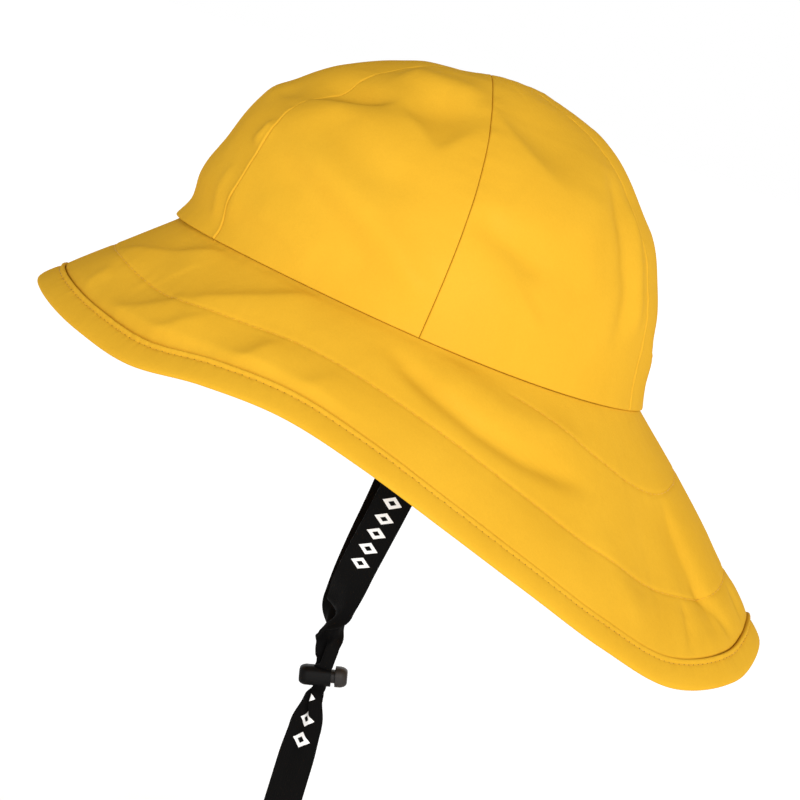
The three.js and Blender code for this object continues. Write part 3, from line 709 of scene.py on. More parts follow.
# The crown
TOP_CLIMB = 0.998          # the panels end just short of the crown's top
CLIMB_LENGTH = 90.0        # millimetres of cloth to a whole climb, near the lower edge
PANEL_WALL = 0.8
LOW_BOW_CLIMB, LOW_BOW_HALF_LENGTH = 0.08, 0.05    # where a seam's low bow is
SEAM_CLEAR = 0.05          # each panel keeps this far from its seam's middle
EDGE_ROLL, FOOT_ROLL = 0.6, 0.28       # radius of the cloth's turn at its seams and its foot
SEAM_ALLOWANCE = 2.4
FOOT_ALLOWANCE = 0.4
ALLOWANCE_AT_FOOT = 0.2    # share of the allowance at the lower edge, where more would touch the brim
ALLOWANCE_GROWS_FROM, ALLOWANCE_GROWS_OVER = 4.0, 6.0    # millimetres up from there
BEAD_FROM_EDGE, BEAD_HALF_WIDTH = 0.65, 0.45
BEAD_FADES, BEAD_FADE_LENGTH = 0.30, 0.12    # the bead dies out above this climb, over this much
PUFF_STARTS = 0.08         # share of the puff's arch that lies below the lower edge
DENTS_RISE, FOLDS_RISE = 0.12, 0.05    # climbs over which they grow from the lower edge
SEWN_FLAT = 0.8            # cloth this near its edge is held flat by the seam
# The pucker beside a panel's seams: its height, its fade away from them, and its waves in
# millimetres along the panel's start, end and foot
SIDE_PUCKER, FOOT_PUCKER = 0.34, 0.22
PUCKER_FADE = 5.0
START_WAVES, END_WAVES, FOOT_WAVES = (7.0, 11.0, 17.0), (6.5, 12.0, 19.0), (9.0, 14.0)
# Stops across and up a panel, closer together beside its edges
EDGE_STOPS = np.array([0.0, 0.07, 0.2, 0.4, 0.7, 1.4, 2.6, 4.0])
PANEL_MIDDLE_STOPS = 46
PANEL_CLIMB_STOPS = 84
PANEL_WIDTH_SAMPLES = 40


def edge_drop(distance, roll):
    """How far a cloth's rolled edge turns in, so many millimetres from the edge."""
    share = np.clip(distance / roll, 0, 1)
    return roll * (1 - np.sqrt(np.clip(1 - (1 - share) ** 2, 0, 1)))


def seam_azimuths(seam, climbs):
    """A seam's azimuth at each climb. seam is its side of the hat and its row of the sizes."""
    side, (foot, bow, low_bow) = seam
    low = np.exp(-((climbs - LOW_BOW_CLIMB) / LOW_BOW_HALF_LENGTH) ** 2)
    return side * (foot + bow * np.sin(math.pi * climbs) + low_bow * low)


def panel_stops(widths):
    """How far each column of a panel lies from its start, and its share of the seam allowance, for
    every width. The margin beside each seam is squeezed where the panel runs out at the top."""
    margin = EDGE_STOPS[-1]
    squeeze = np.minimum(1, widths / (4 * margin))
    middle = np.linspace(0, 1, PANEL_MIDDLE_STOPS)[1:-1]
    stops = [0 * widths, 0 * widths]
    stops += [e * squeeze for e in EDGE_STOPS]
    stops += [margin * squeeze + m * (widths - 2 * margin * squeeze) for m in middle]
    stops += [widths - e * squeeze for e in EDGE_STOPS[::-1]]
    stops += [widths, widths]
    from_start = np.array(stops)
    allowance = np.zeros_like(from_start)
    allowance[[0, -1]], allowance[[1, -2]] = SEAM_ALLOWANCE, SEAM_ALLOWANCE / 2
    return from_start, allowance * squeeze, squeeze


def crown_panel(name, start_seam, end_seam, seed, bead=0.0):
    """One crown panel, its four edges rolled in and carrying a seam allowance inside.
    bead is how far the cloth stands up along its seams, where it is turned over the next panel's."""
    lower = EDGE_STOPS / CLIMB_LENGTH
    climbs = np.concatenate([[0, 0], lower, np.linspace(lower[-1], TOP_CLIMB, PANEL_CLIMB_STOPS)[1:]])
    tuck = np.zeros(len(climbs))
    tuck[:2] = (FOOT_ALLOWANCE, FOOT_ALLOWANCE / 2)
    ends = [seam_azimuths(seam, climbs) for seam in (start_seam, end_seam)]
    first, last = ends[0], ends[0] + (ends[1] - ends[0]) % 360
    clear = np.degrees(SEAM_CLEAR / np.linalg.norm(smooth_crown(first, climbs)[:, :2], axis=1))
    first, last = first + clear, last - clear
    fine = smooth_crown(np.linspace(first, last, PANEL_WIDTH_SAMPLES), climbs)
    widths = np.linalg.norm(np.diff(fine, axis=0), axis=2).sum(axis=0)
    from_start, allowance, squeeze = panel_stops(widths)

    across = from_start / widths
    azimuth = first + (last - first) * across
    climb = np.broadcast_to(climbs, azimuth.shape)
    face, normal = smooth_crown(azimuth, climb), crown_normal(azimuth, climb)

    puff = PANEL_PUFF * (1 - (2 * across - 1) ** 2) * np.sin(math.pi * np.minimum(climb + PUFF_STARTS, 1))
    dent = DENT_DEPTH * bumps(CROWN_DENTS, azimuth, climb) * smoothstep(climb / DENTS_RISE)
    folds = fold_heights(face, CROWN_FOLDS, smooth_crown) * smoothstep(climb / FOLDS_RISE)

    steps = np.linalg.norm(np.diff(smooth_crown(first, climbs), axis=0), axis=1)
    rise = np.concatenate([[0], steps.cumsum()])
    girth = from_start - widths / 2
    from_edge = np.minimum(from_start, widths - from_start)
    side_pucker = pucker((SIDE_PUCKER, seed, START_WAVES, PUCKER_FADE), rise, from_start)
    side_pucker += pucker((SIDE_PUCKER, seed + 1, END_WAVES, PUCKER_FADE), rise, widths - from_start)
    side_pucker *= smoothstep(from_edge / SEWN_FLAT)
    foot_pucker = pucker((FOOT_PUCKER, seed + 2, FOOT_WAVES, PUCKER_FADE), girth, rise)
    foot_pucker *= smoothstep(rise / SEWN_FLAT)

    grown = smoothstep((rise - ALLOWANCE_GROWS_FROM) / ALLOWANCE_GROWS_OVER)
    above_foot = ALLOWANCE_AT_FOOT + (1 - ALLOWANCE_AT_FOOT) * grown
    roll = np.broadcast_to(EDGE_ROLL * squeeze, from_edge.shape)
    side_drop = edge_drop(from_edge, roll) + allowance * above_foot
    foot_drop = edge_drop(rise, FOOT_ROLL) + tuck
    beading = bead * squeeze * np.exp(-((from_edge - BEAD_FROM_EDGE) / BEAD_HALF_WIDTH) ** 2)
    beading = beading * (1 - smoothstep((climb - BEAD_FADES) / BEAD_FADE_LENGTH))
    height = puff - dent + folds + side_pucker + foot_pucker + beading - np.maximum(side_drop, foot_drop)
    positions = face + normal * height[..., None]
    # the foot's allowance turns in from where the foot itself stands
    positions[:, :2] = positions[:, 2:3] + (positions[:, :2] - face[:, :2])
    cloth_mm = np.stack([girth, np.broadcast_to(rise, girth.shape)], axis=-1)

    bm = cloth_grid(positions, cloth_mm)
    face_away(bm)
    made = piece(bm, name + "_cloth", YELLOW_CLOTH, stands_for=[name])
    give_wall(made, PANEL_WALL)


LEFT, RIGHT = 1, -1
PANEL_BEAD = 0.30
crown_panel("crown_front", (RIGHT, FRONT_SEAM), (LEFT, FRONT_SEAM), 10, bead=PANEL_BEAD)
crown_panel("crown_front_left", (LEFT, FRONT_SEAM), (LEFT, SIDE_SEAM), 20)
crown_panel("crown_back_left", (LEFT, SIDE_SEAM), (LEFT, BACK_SEAM), 30)
crown_panel("crown_back", (LEFT, BACK_SEAM), (RIGHT, BACK_SEAM), 40, bead=PANEL_BEAD)
crown_panel("crown_back_right", (RIGHT, BACK_SEAM), (RIGHT, SIDE_SEAM), 50)
crown_panel("crown_front_right", (RIGHT, SIDE_SEAM), (RIGHT, FRONT_SEAM), 60)


EYE_FROM_CLIMB = 0.93
EYE_BELOW = PANEL_WALL + 0.4    # it lies just under the panels
EYE_COLUMNS, EYE_ROWS = 48, 8


def crown_eye():
    """The panels' allowances where they meet at the top: a small round of cloth that closes the crown."""
    around = np.linspace(-180, 180, EYE_COLUMNS + 1)
    azimuth, climb = np.meshgrid(around, np.linspace(EYE_FROM_CLIMB, 1, EYE_ROWS + 1), indexing="ij")
    face = smooth_crown(azimuth, climb)
    height = fold_heights(face, CROWN_FOLDS, smooth_crown) - DENT_DEPTH * bumps(CROWN_DENTS, azimuth, climb)
    face[..., 2] += height - EYE_BELOW
    bm = cloth_grid(face, face[..., :2], around=True)
    face_away(bm)
    give_wall(piece(bm, "crown_eye_cloth", YELLOW_CLOTH), PANEL_WALL)


crown_eye()


# The brim
BRIM_COLUMNS = 540
BRIM_GIRTH_RADIUS = 130.0  # turns an azimuth into millimetres round the brim
# How far out from the crown the back row lies round one side: azimuth, millimetres
BACK_ROW_BY_AZIMUTH = np.array([
    (0, 7.0), (105, 7.0), (118, 9.5), (128, 15.5), (140, 24.5),
    (150, 32.0), (160, 36.0), (170, 33.0), (180, 29.0),
])
BACK_ROW_START, BACK_ROW_FADE = 113.0, 4.0    # degrees
BACK_ROW_DEPTH = 0.75      # the back row's groove, as a share of the long row's
ROW_GROOVE = 0.38
ROW_GROOVE_HALF_WIDTH = 0.9
SEAM_LIP, SEAM_LIP_FADE = 0.24, 1.5    # the brim comes up to meet the crown's foot
BAND_END_ROLL = 0.8
FLAT_RIDGE_ROLL = 0.15     # share of that roll where the band has no ridge
FULL_ROLL_RIDGE = 0.6      # a ridge this strong has the whole roll
# How strongly the brim is puffed round one side, and across it from the crown (0) past the long
# row (3) to the band (6)
PUFF_BY_AZIMUTH = np.array([(0, 0.05), (20, 0.12), (60, 0.75), (120, 1.0), (180, 0.9)])
QUILT_LIFTS = np.array([(0, 0.0), (1, 0.8), (2, 1.0), (3, 0.55), (4, 1.0), (5, 0.8), (6, 0.0)])
# Pucker of the brim: height, random seed, waves in millimetres, and how far from its row it fades
LONG_ROW_PUCKER = (0.24, 71, (6.5, 9.5, 14.0), 5.0)
BACK_ROW_PUCKER = (0.16, 72, (7.0, 11.0), 4.0)
BAND_SIDE_PUCKER = (0.22, 73, (8.0, 13.0), 5.0)
CROWN_SIDE_PUCKER = (0.16, 74, (9.0, 15.0), 5.0)
UNDER_PUCKER = 0.8         # share of the pucker that shows underneath
# Stops across the brim: beside the crown, beside a row, and how many between them
FIRST_STOPS = (0.0, 0.5, 1.4)
STOPS_BESIDE_ROW = np.array([-3.0, -1.8, -1.0, -0.5, 0.0, 0.5, 1.0, 1.8, 3.0])
STOPS_BETWEEN_ROWS, STOPS_TO_BAND = 18, 14


def brim_outs(azimuth, width, row):
    """Stops across the brim, closer together beside the stitched rows, for every azimuth."""
    end = width - BAND_WIDTH - SEAM_GAP
    long_row = width - row
    back_row = between(BACK_ROW_BY_AZIMUTH, 1, np.abs(turned(0, azimuth)), True)
    beside, last = STOPS_BESIDE_ROW[-1], FIRST_STOPS[-1]
    stops = [s + 0 * width for s in FIRST_STOPS]
    stops += [last + (back_row - beside - last) * t for t in (0.35, 0.7)]
    stops += [back_row + d for d in STOPS_BESIDE_ROW]
    gap = long_row - back_row - 2 * beside
    stops += [back_row + beside + gap * t for t in np.linspace(0, 1, STOPS_BETWEEN_ROWS)[1:-1]]
    stops += [long_row + d for d in STOPS_BESIDE_ROW]
    gap = end - long_row - beside - last
    stops += [long_row + beside + gap * t for t in np.linspace(0, 1, STOPS_TO_BAND)[1:]]
    stops += [end - 0.5, end]
    return np.array(stops).T, end, long_row, back_row


def brim_surface(azimuth, out, end, long_row, back_row, side, folds):
    """How high a point of the brim's upper (side 1) or under (side -1) cloth stands above its plane."""
    off_front = np.abs(turned(0, azimuth))
    quilt_place = np.where(out < long_row, 3 * out / long_row, 3 + 3 * (out - long_row) / (end - long_row))
    puffed = between(PUFF_BY_AZIMUTH, 1, off_front, True)
    lift = QUILT_PUFF * puffed * between(QUILT_LIFTS, 1, np.clip(quilt_place, 0, 6))
    has_back_row = smoothstep((off_front - BACK_ROW_START) / BACK_ROW_FADE)
    from_long, from_back = np.abs(out - long_row), np.abs(out - back_row)
    groove = np.exp(-(from_long / ROW_GROOVE_HALF_WIDTH) ** 2)
    groove += has_back_row * BACK_ROW_DEPTH * np.exp(-(from_back / ROW_GROOVE_HALF_WIDTH) ** 2)
    length = np.radians(azimuth) * BRIM_GIRTH_RADIUS
    rows_pucker = pucker(LONG_ROW_PUCKER, length, from_long)
    rows_pucker = rows_pucker + has_back_row * pucker(BACK_ROW_PUCKER, length, from_back)
    rows_pucker = rows_pucker + pucker(BAND_SIDE_PUCKER, length, end - out)
    rows_pucker = rows_pucker + pucker(CROWN_SIDE_PUCKER, length, out) * smoothstep(out / 2.0)
    ridge = smoothstep(between(RIDGE_BY_AZIMUTH, 1, off_front, True) / FULL_ROLL_RIDGE)
    beside_band = FLAT_RIDGE_ROLL + (1 - FLAT_RIDGE_ROLL) * ridge
    ends = beside_band * edge_drop(end - out, BAND_END_ROLL) - SEAM_LIP * np.exp(-out / SEAM_LIP_FADE)
    raised = lift - ROW_GROOVE * groove - ends
    if side > 0:
        return raised + folds + rows_pucker
    return folds - raised - BRIM_THICKNESS + UNDER_PUCKER * rows_pucker


def brim_fold_heights(azimuth, out, end, points):
    """How far the broad swells and the narrow folds move the brim's cloth. Both are held by its seams."""
    ends = np.sin(math.pi * np.clip(out / end, 0, 1))
    swells = BRIM_FOLD * bumps([(a, o, w, l, h) for a, w, o, l, h in BRIM_SWELLS], azimuth, out / end)
    narrow = fold_heights(points, BRIM_FOLDS, smooth_brim)
    return ends * swells + smoothstep(ends * 3) * narrow


# The brim's layers run on into the folded band, and stand up inside the crown where they are
# sewn to it: millimetres out or in, and up
BRIM_TONGUE = ((0.0, -1.05), (2.4, -1.10), (2.4, -1.35), (0.0, -1.40))
BRIM_UPSTAND = ((0.6, -2.6), (2.9, -2.2), (2.9, 5.5), (2.1, 5.5), (2.1, -0.1), (0.6, -0.4))


def make_brim():
    azimuths = np.linspace(-180, 180, BRIM_COLUMNS + 1)
    start, out_way, up, width, row = brim_frame(azimuths)
    outs, end, long_row, back_row = brim_outs(azimuths, width, row)
    a, e, l, b = (x[:, None] for x in (azimuths, end, long_row, back_row))
    plane = start[:, None] + out_way[:, None] * outs[..., None]
    folds = brim_fold_heights(a, outs, e, plane)
    top, under = (
        plane + up[:, None] * brim_surface(a, outs, e, l, b, side, folds)[..., None] for side in (1, -1)
    )
    every_second = np.r_[0:outs.shape[1] - 1:2, outs.shape[1] - 1]
    under = under[:, every_second][:, ::-1]
    level, z = level_out(azimuths), np.array([0.0, 0.0, 1.0])
    edge = start + out_way * end[:, None]
    tongue = [edge + out_way * o + up * h for o, h in BRIM_TONGUE]
    upstand = [start - level * i + z * h for i, h in BRIM_UPSTAND]
    tongue, upstand = (np.stack(rows, axis=1) for rows in (tongue, upstand))
    positions = np.concatenate([top, tongue, under, upstand, top[:, :1]], axis=1)
    turn = np.broadcast_to(e, (len(azimuths), len(BRIM_TONGUE))) + 2
    inside = np.zeros((len(azimuths), len(BRIM_UPSTAND)))
    back = 2 * e + 5 - outs[:, every_second][:, ::-1]
    across = np.concatenate([outs, turn, back, inside, outs[:, :1]], axis=1)
    girth = np.radians(azimuths) * BRIM_GIRTH_RADIUS
    cloth_mm = np.stack([np.broadcast_to(girth[:, None], across.shape), across], axis=-1)
    bm = cloth_grid(positions, cloth_mm, around=True, closed=True)
    piece(bm, "brim_cloth", YELLOW_CLOTH, stands_for=["brim"])


make_brim()


# The edge band
STITCH_PITCH = 3.1
# Its section, from the ridge beside the brim round the folded edge and back underneath:
# share of the band's width, share of the brim's thickness, share of the ridge's height
BAND_SECTION = (
    (0.220, -0.40, 0.00), (0.000, -0.38, 0.00), (0.000, -0.10, 0.00), (0.000, 0.02, 0.30),
    (0.010, 0.06, 0.66), (0.032, 0.08, 0.95), (0.060, 0.08, 1.00), (0.092, 0.07, 0.86),
    (0.122, 0.05, 0.58), (0.146, 0.03, 0.30), (0.164, 0.00, 0.10), (0.180, -0.05, 0.00),
    (0.198, 0.00, 0.04), (0.230, 0.05, 0.08), (0.290, 0.10, 0.08), (0.380, 0.14, 0.08),
    (0.500, 0.16, 0.08), (0.620, 0.15, 0.08), (0.740, 0.11, 0.06), (0.840, 0.03, 0.04),
    (0.920, -0.08, 0.00), (0.970, -0.22, 0.00), (0.995, -0.42, 0.00), (0.995, -0.62, 0.00),
    (0.970, -0.80, 0.00), (0.920, -0.93, 0.00), (0.840, -1.01, 0.00), (0.700, -1.06, 0.00),
    (0.500, -1.07, 0.00), (0.300, -1.04, 0.00), (0.205, -1.00, 0.00), (0.180, -0.94, 0.00),
    (0.155, -1.00, 0.00), (0.080, -1.02, 0.00), (0.020, -0.98, 0.00), (0.000, -0.88, 0.00),
    (0.000, -0.62, 0.00), (0.220, -0.60, 0.00),
)
BAND_STITCH_PLACE = 0.180
BAND_STITCH_FADE = 0.16
BAND_COLUMNS = 1200
BAND_GIRTH_RADIUS = 150.0  # turns an azimuth into millimetres round the band
VISIBLE_RIDGE = 0.62       # the cloth's own ridge, as a share of the part's
BEAD_HEIGHT = 0.13         # the ridge rises and falls between its stitches
BAND_PUCKER = 0.30
RIDGE_UNEVENNESS = 0.20
# Ripples of the band: random seed and waves in millimetres
RIDGE_WOBBLE = (81, (7.0, 12.0, 27.0))
STITCH_PUCKER = (82, (5.5, 8.5, 13.0))
BEAD_STRENGTH = (83, (17.0, 31.0))


def band_height(azimuth, out_share, lift, ridge):
    """How high a point of the band's section stands above the brim's plane."""
    strength = between(RIDGE_BY_AZIMUTH, 1, np.abs(turned(0, azimuth)), True)
    length = np.radians(azimuth) * BAND_GIRTH_RADIUS
    wobble = 1 + RIDGE_UNEVENNESS * ripple(length, *RIDGE_WOBBLE)
    beads = np.sin(2 * math.pi * length / STITCH_PITCH) * (0.6 + 0.4 * ripple(length, *BEAD_STRENGTH))
    near_stitches = np.exp(-np.abs(out_share - BAND_STITCH_PLACE) / BAND_STITCH_FADE)
    uneven = (BAND_PUCKER * ripple(length, *STITCH_PUCKER) + BEAD_HEIGHT * beads) * near_stitches
    rise = lift * BRIM_THICKNESS + ridge * VISIBLE_RIDGE * BAND_RIDGE * strength * wobble
    return rise + uneven * smoothstep(out_share / 0.05)


def make_band():
    azimuths = np.linspace(-180, 180, BAND_COLUMNS + 1)
    start, out_way, up, width, _ = brim_frame(azimuths)
    section = np.array(BAND_SECTION + BAND_SECTION[:1])
    share, lift, ridge = (np.broadcast_to(section[:, k], (len(azimuths), len(section))) for k in range(3))
    out = (width - BAND_WIDTH)[:, None] + share * BAND_WIDTH
    height = band_height(azimuths[:, None], share, lift, ridge)
    positions = start[:, None] + out_way[:, None] * out[..., None] + up[:, None] * height[..., None]
    steps = np.linalg.norm(np.diff(positions[0], axis=0), axis=1)
    around_section = np.concatenate([[0], steps.cumsum()])
    girth = np.radians(azimuths) * BAND_GIRTH_RADIUS
    cloth_mm = np.stack(np.broadcast_arrays(girth[:, None], around_section[None]), axis=-1)
    bm = cloth_grid(positions, cloth_mm, around=True, closed=True)
    piece(bm, "edge_band_cloth", YELLOW_CLOTH, stands_for=["edge_band"])


make_band()


# The stitches
STITCH_LENGTH = 2.5
STITCH_WIDTH = 0.42
STITCH_SIZE = (STITCH_WIDTH / 2, STITCH_WIDTH / 2, STITCH_LENGTH / 2)
STITCH_TURN, STITCH_SHIFT = 0.035, 0.05    # how unevenly the stitches lie
# size of the small dark ellipsoid of painted shade at each needle hole
HOLE_SHADE_SIZE = (0.30, 0.17, 0.30)
STITCHES_IN_A_BATCH = 24   # a bmesh that stays small is quick to add to
BRIM_STITCH_LIFT, BAND_STITCH_LIFT = 0.10, 0.16
BAND_STITCH_TOP, BAND_STITCH_UNDER = -0.10, -0.90    # shares of the brim's thickness
BACK_ROW_STITCHES_START = BACK_ROW_START + 3
BACK_ROW_SAMPLES = 721


def lay_thread(bm, middle, axes, size, rings):
    """Adds a small ellipsoid with its centre at middle and gives its faces."""
    turn = Matrix([axis * s * MM for axis, s in zip(axes, size)]).transposed().to_4x4()
    turn.translation = middle * MM
    made = bmesh.ops.create_uvsphere(bm, u_segments=6, v_segments=rings, radius=1, matrix=turn)
    return {f for v in made["verts"] for f in v.link_faces}


def sewn_row(name, azimuths, place, hole_shade=False):
    """A row of lockstitches laid on the cloth. place gives a point and the way up from it, by azimuth.
    Its last argument lays a small dark ellipsoid at each needle hole, where the thread goes down between two
    stitches: painted shade in the hole."""
    points, up = place(azimuths)
    length = np.concatenate([[0], np.linalg.norm(np.diff(points, axis=0), axis=1).cumsum()])
    count = int(length[-1] / STITCH_PITCH)
    stops = np.linspace(0, length[-1], count + 1)
    at = np.stack([np.interp(stops, length, points[:, k]) for k in range(3)], axis=1)
    upward = np.stack([np.interp(stops, length, up[:, k]) for k in range(3)], axis=1)
    wander = np.random.default_rng(len(name)).normal(0, 1, (count, 2))
    bm, batch = bmesh.new(), bpy.data.meshes.new("batch")
    for first in range(0, count, STITCHES_IN_A_BATCH):
        few = bmesh.new()
        for i in range(first, min(first + STITCHES_IN_A_BATCH, count)):
            along = Vector(at[i + 1] - at[i]).normalized()
            top = Vector((upward[i] + upward[i + 1]) / 2)
            top = (top - along * top.dot(along)).normalized()
            along = (along + top.cross(along) * STITCH_TURN * wander[i, 0]).normalized()
            side = top.cross(along)
            middle = Vector((at[i] + at[i + 1]) / 2) + side * STITCH_SHIFT * wander[i, 1]
            lay_thread(few, middle, (side, top, along), STITCH_SIZE, 5)
            # a small dark ellipsoid at the needle hole: painted shade
            if hole_shade:
                for face in lay_thread(few, Vector(at[i]), (side, top, along), HOLE_SHADE_SIZE, 4):
                    face.material_index = 1
        few.to_mesh(batch)
        few.free()
        bm.from_mesh(batch)
    bpy.data.meshes.remove(batch)
    for face in bm.faces:
        face.smooth = True
    bmesh.ops.recalc_face_normals(bm, faces=bm.faces)
    row = piece(bm, name, YELLOW_THREAD)
    if hole_shade:
        row.data.materials.append(PAINTED_HOLE_SHADE)


def on_brim(kind, side):
    """Where a stitched row lies on the brim's upper or under cloth."""

    def place(azimuths):
        start, out_way, up, width, row = brim_frame(azimuths)
        _, end, long_row, back_row = brim_outs(azimuths, width, row)
        out = (long_row if kind == "long" else back_row)[:, None]
        plane = start + out_way * out
        a, e, l, b = (x[:, None] for x in (azimuths, end, long_row, back_row))
        folds = brim_fold_heights(a, out, e, plane[:, None])
        height = brim_surface(a, out, e, l, b, side, folds) + side * BRIM_STITCH_LIFT
        return plane + up * height, up * side

    return place


def on_band(side):
    """Where the band's stitched row lies on its upper or under cloth."""

    def place(azimuths):
        start, out_way, up, width, _ = brim_frame(azimuths)
        share = np.full(len(azimuths), BAND_STITCH_PLACE)
        lift = BAND_STITCH_TOP if side > 0 else BAND_STITCH_UNDER
        height = band_height(azimuths, share, lift, 0.0) + side * BAND_STITCH_LIFT
        out = width - BAND_WIDTH + share * BAND_WIDTH
        return start + out_way * out[:, None] + up * height[:, None], up * side

    return place


all_round = np.linspace(-180, 180, BAND_COLUMNS + 1)
back_part = np.linspace(BACK_ROW_STITCHES_START, 360 - BACK_ROW_STITCHES_START, BACK_ROW_SAMPLES)
for layer, side in (("upper", 1), ("under", -1)):
    sewn_row(f"long_row_{layer}_stitches", all_round, on_brim("long", side))
    sewn_row(f"back_row_{layer}_stitches", back_part, on_brim("back", side))
    # the band's row gets painted shade in its needle holes
    sewn_row(f"band_row_{layer}_stitches", all_round, on_band(side), hole_shade=True)


# The chin strap
PLEAT_SPACING = 0.96       # millimetres between the webbing's layers where it is pleated
WEBBING_THICKNESS = 0.9
STRAP_SECTIONS = 620
STRAP_COLUMNS = 30
POINTS_TO_A_SPAN = 40
PLEAT_SAMPLES = 481
STRAP_BOTTOM_SPREAD = 0.024    # half width of the loop's lowest turn, as a share of the tail
STRAP_FLUTTER = 0.35       # how far the flat webbing cups to either side
FLUTTER_WAVES = (23.0, 37.0, 61.0)
UPPER_MOTIFS = (81, 126)   # where the diamonds show, in millimetres from the sewn end
LOWER_MOTIFS = (7, 36)     # and in millimetres past the lock


def strap_seat():
    """Where the strap hangs from: half the distance between its sewn ends, its place fore and aft, and
    the height of the seam there."""
    middle = seam_point(np.array([STRAP_AZIMUTH]))[0]
    edge = np.degrees(np.arccos(-(middle[1] + STRAP_WIDTH / 2) / HEAD_HALF_LENGTH))
    start, _, up, _, _ = brim_frame(np.array([edge]))
    innermost = start[0] - up[0] * BRIM_THICKNESS
    return innermost[0] - SEAM_GAP - STRAP_THICKNESS / 2, middle[1], middle[2]


SEAT_SPREAD, SEAT_BACK, SEAT_FOOT = strap_seat()
LOCK_MIDDLE = np.array([0.0, SEAT_BACK - LOCK_FORWARD, -LOCK_DROP])
LAYER_GAP = 2 * LOCK_CLEARANCE                       # between the two legs in the lock
LAYER_OFFSET = (GATHERED_THICKNESS + LAYER_GAP) / 2


def strap_route():
    """The strap's route from one sewn end to the other.
    Columns: x, y, z, gather, tilt, half turns of twist."""
    rows = [
        (SEAT_SPREAD, SEAT_BACK, SEAT_FOOT + STRAP_SEWN_LENGTH, 0, 0, 0, 0),
        (SEAT_SPREAD, SEAT_BACK, SEAT_FOOT, 0, 0, 0, 0),
    ]
    for down, spread, lean, gather, near_twist, far_twist in STRAP_LEG:
        x = max(spread * SEAT_SPREAD, LAYER_OFFSET)
        z = SEAT_FOOT + (-LOCK_DROP - SEAT_FOOT) * down
        rows.append((x, SEAT_BACK + lean * STRAP_WIDTH, z, gather, 0, near_twist, far_twist))
    throat = STEM_HEIGHT / 2 + LOCK_WALL + LOCK_CLEARANCE
    for way in (1, 0, -1):
        y = LOCK_MIDDLE[1] - way * throat * math.sin(LOCK_TILT)
        z = LOCK_MIDDLE[2] + way * throat * math.cos(LOCK_TILT)
        rows.append((LAYER_OFFSET, y, z, 1, LOCK_TILT, 1, -1))
    for down, spread, lean, gather in STRAP_TAIL_LEG:
        x = max(spread * STRAP_TAIL, LAYER_OFFSET)
        y = LOCK_MIDDLE[1] + lean * STRAP_WIDTH
        rows.append((x, y, -LOCK_DROP - STRAP_TAIL * down, gather, 0, 1, -1))
    y = LOCK_MIDDLE[1] + STRAP_TAIL_LEG[-1][2] * STRAP_WIDTH
    rows.append((STRAP_BOTTOM_SPREAD * STRAP_TAIL, y, -LOCK_DROP - STRAP_TAIL, 0, 0, 1, -1))
    near = [(x, y, z, gather, tilt, near_twist) for x, y, z, gather, tilt, near_twist, _ in rows]
    far = [(-x, y, z, gather, tilt, far_twist) for x, y, z, gather, tilt, _, far_twist in rows]
    turned_under = [(x, y, z, gather, tilt, twist + 2) for x, y, z, gather, tilt, twist in reversed(far)]
    return np.array(near + turned_under)


def centripetal(points, count):
    """Points on a centripetal Catmull-Rom curve, count to each span, with the span each lies in."""
    padded = np.vstack([2 * points[0] - points[1], points, 2 * points[-1] - points[-2]])
    made, places = [], []
    for i in range(1, len(padded) - 2):
        p0, p1, p2, p3 = padded[i - 1:i + 3]
        d0, d1, d2 = (np.linalg.norm(b - a) ** 0.5 for a, b in ((p0, p1), (p1, p2), (p2, p3)))
        m1 = ((p1 - p0) / d0 - (p2 - p0) / (d0 + d1) + (p2 - p1) / d1) * d1
        m2 = ((p2 - p1) / d1 - (p3 - p1) / (d1 + d2) + (p3 - p2) / d2) * d1
        t = np.linspace(0, 1, count, endpoint=i == len(padded) - 3)[:, None]
        made.append((2 * t**3 - 3 * t**2 + 1) * p1 + (t**3 - 2 * t**2 + t) * m1
                    + (3 * t**2 - 2 * t**3) * p2 + (t**3 - t**2) * m2)
        places.append(i - 1 + t[:, 0])
    return np.vstack(made), np.concatenate(places)


def pleated_section(gather):
    """The webbing's width laid flat, or folded over itself in three layers: places across and through it."""
    s = np.linspace(-0.5, 0.5, STRAP_COLUMNS + 1) * STRAP_WIDTH
    fine = np.linspace(-0.5, 0.5, PLEAT_SAMPLES) * STRAP_WIDTH
    turn = math.pi * PLEAT_SPACING / 2
    first, second = (smoothstep((fine - fold) / turn + 0.5) for fold in (-STRAP_WIDTH / 6, STRAP_WIDTH / 6))
    angle = gather * math.pi * (first - second)
    step = fine[1] - fine[0]
    x = np.concatenate([[0], (np.cos(angle[:-1]) * step).cumsum()])
    h = np.concatenate([[0], (np.sin(angle[:-1]) * step).cumsum()])
    x, h = x - (x.max() + x.min()) / 2, h - (h.max() + h.min()) / 2
    return s, np.interp(s, fine, x), np.interp(s, fine, h)


def whole_motifs(length, lock_at):
    """The decorated stretches of the webbing on both legs, each rounded to whole diamonds."""
    motifs = []
    for first, last in (UPPER_MOTIFS, [lock_at + m for m in LOWER_MOTIFS]):
        for start, end in ((first, last), (length - last, length - first)):
            motifs.append((MOTIF_PITCH * round(start / MOTIF_PITCH), MOTIF_PITCH * round(end / MOTIF_PITCH)))
    return motifs


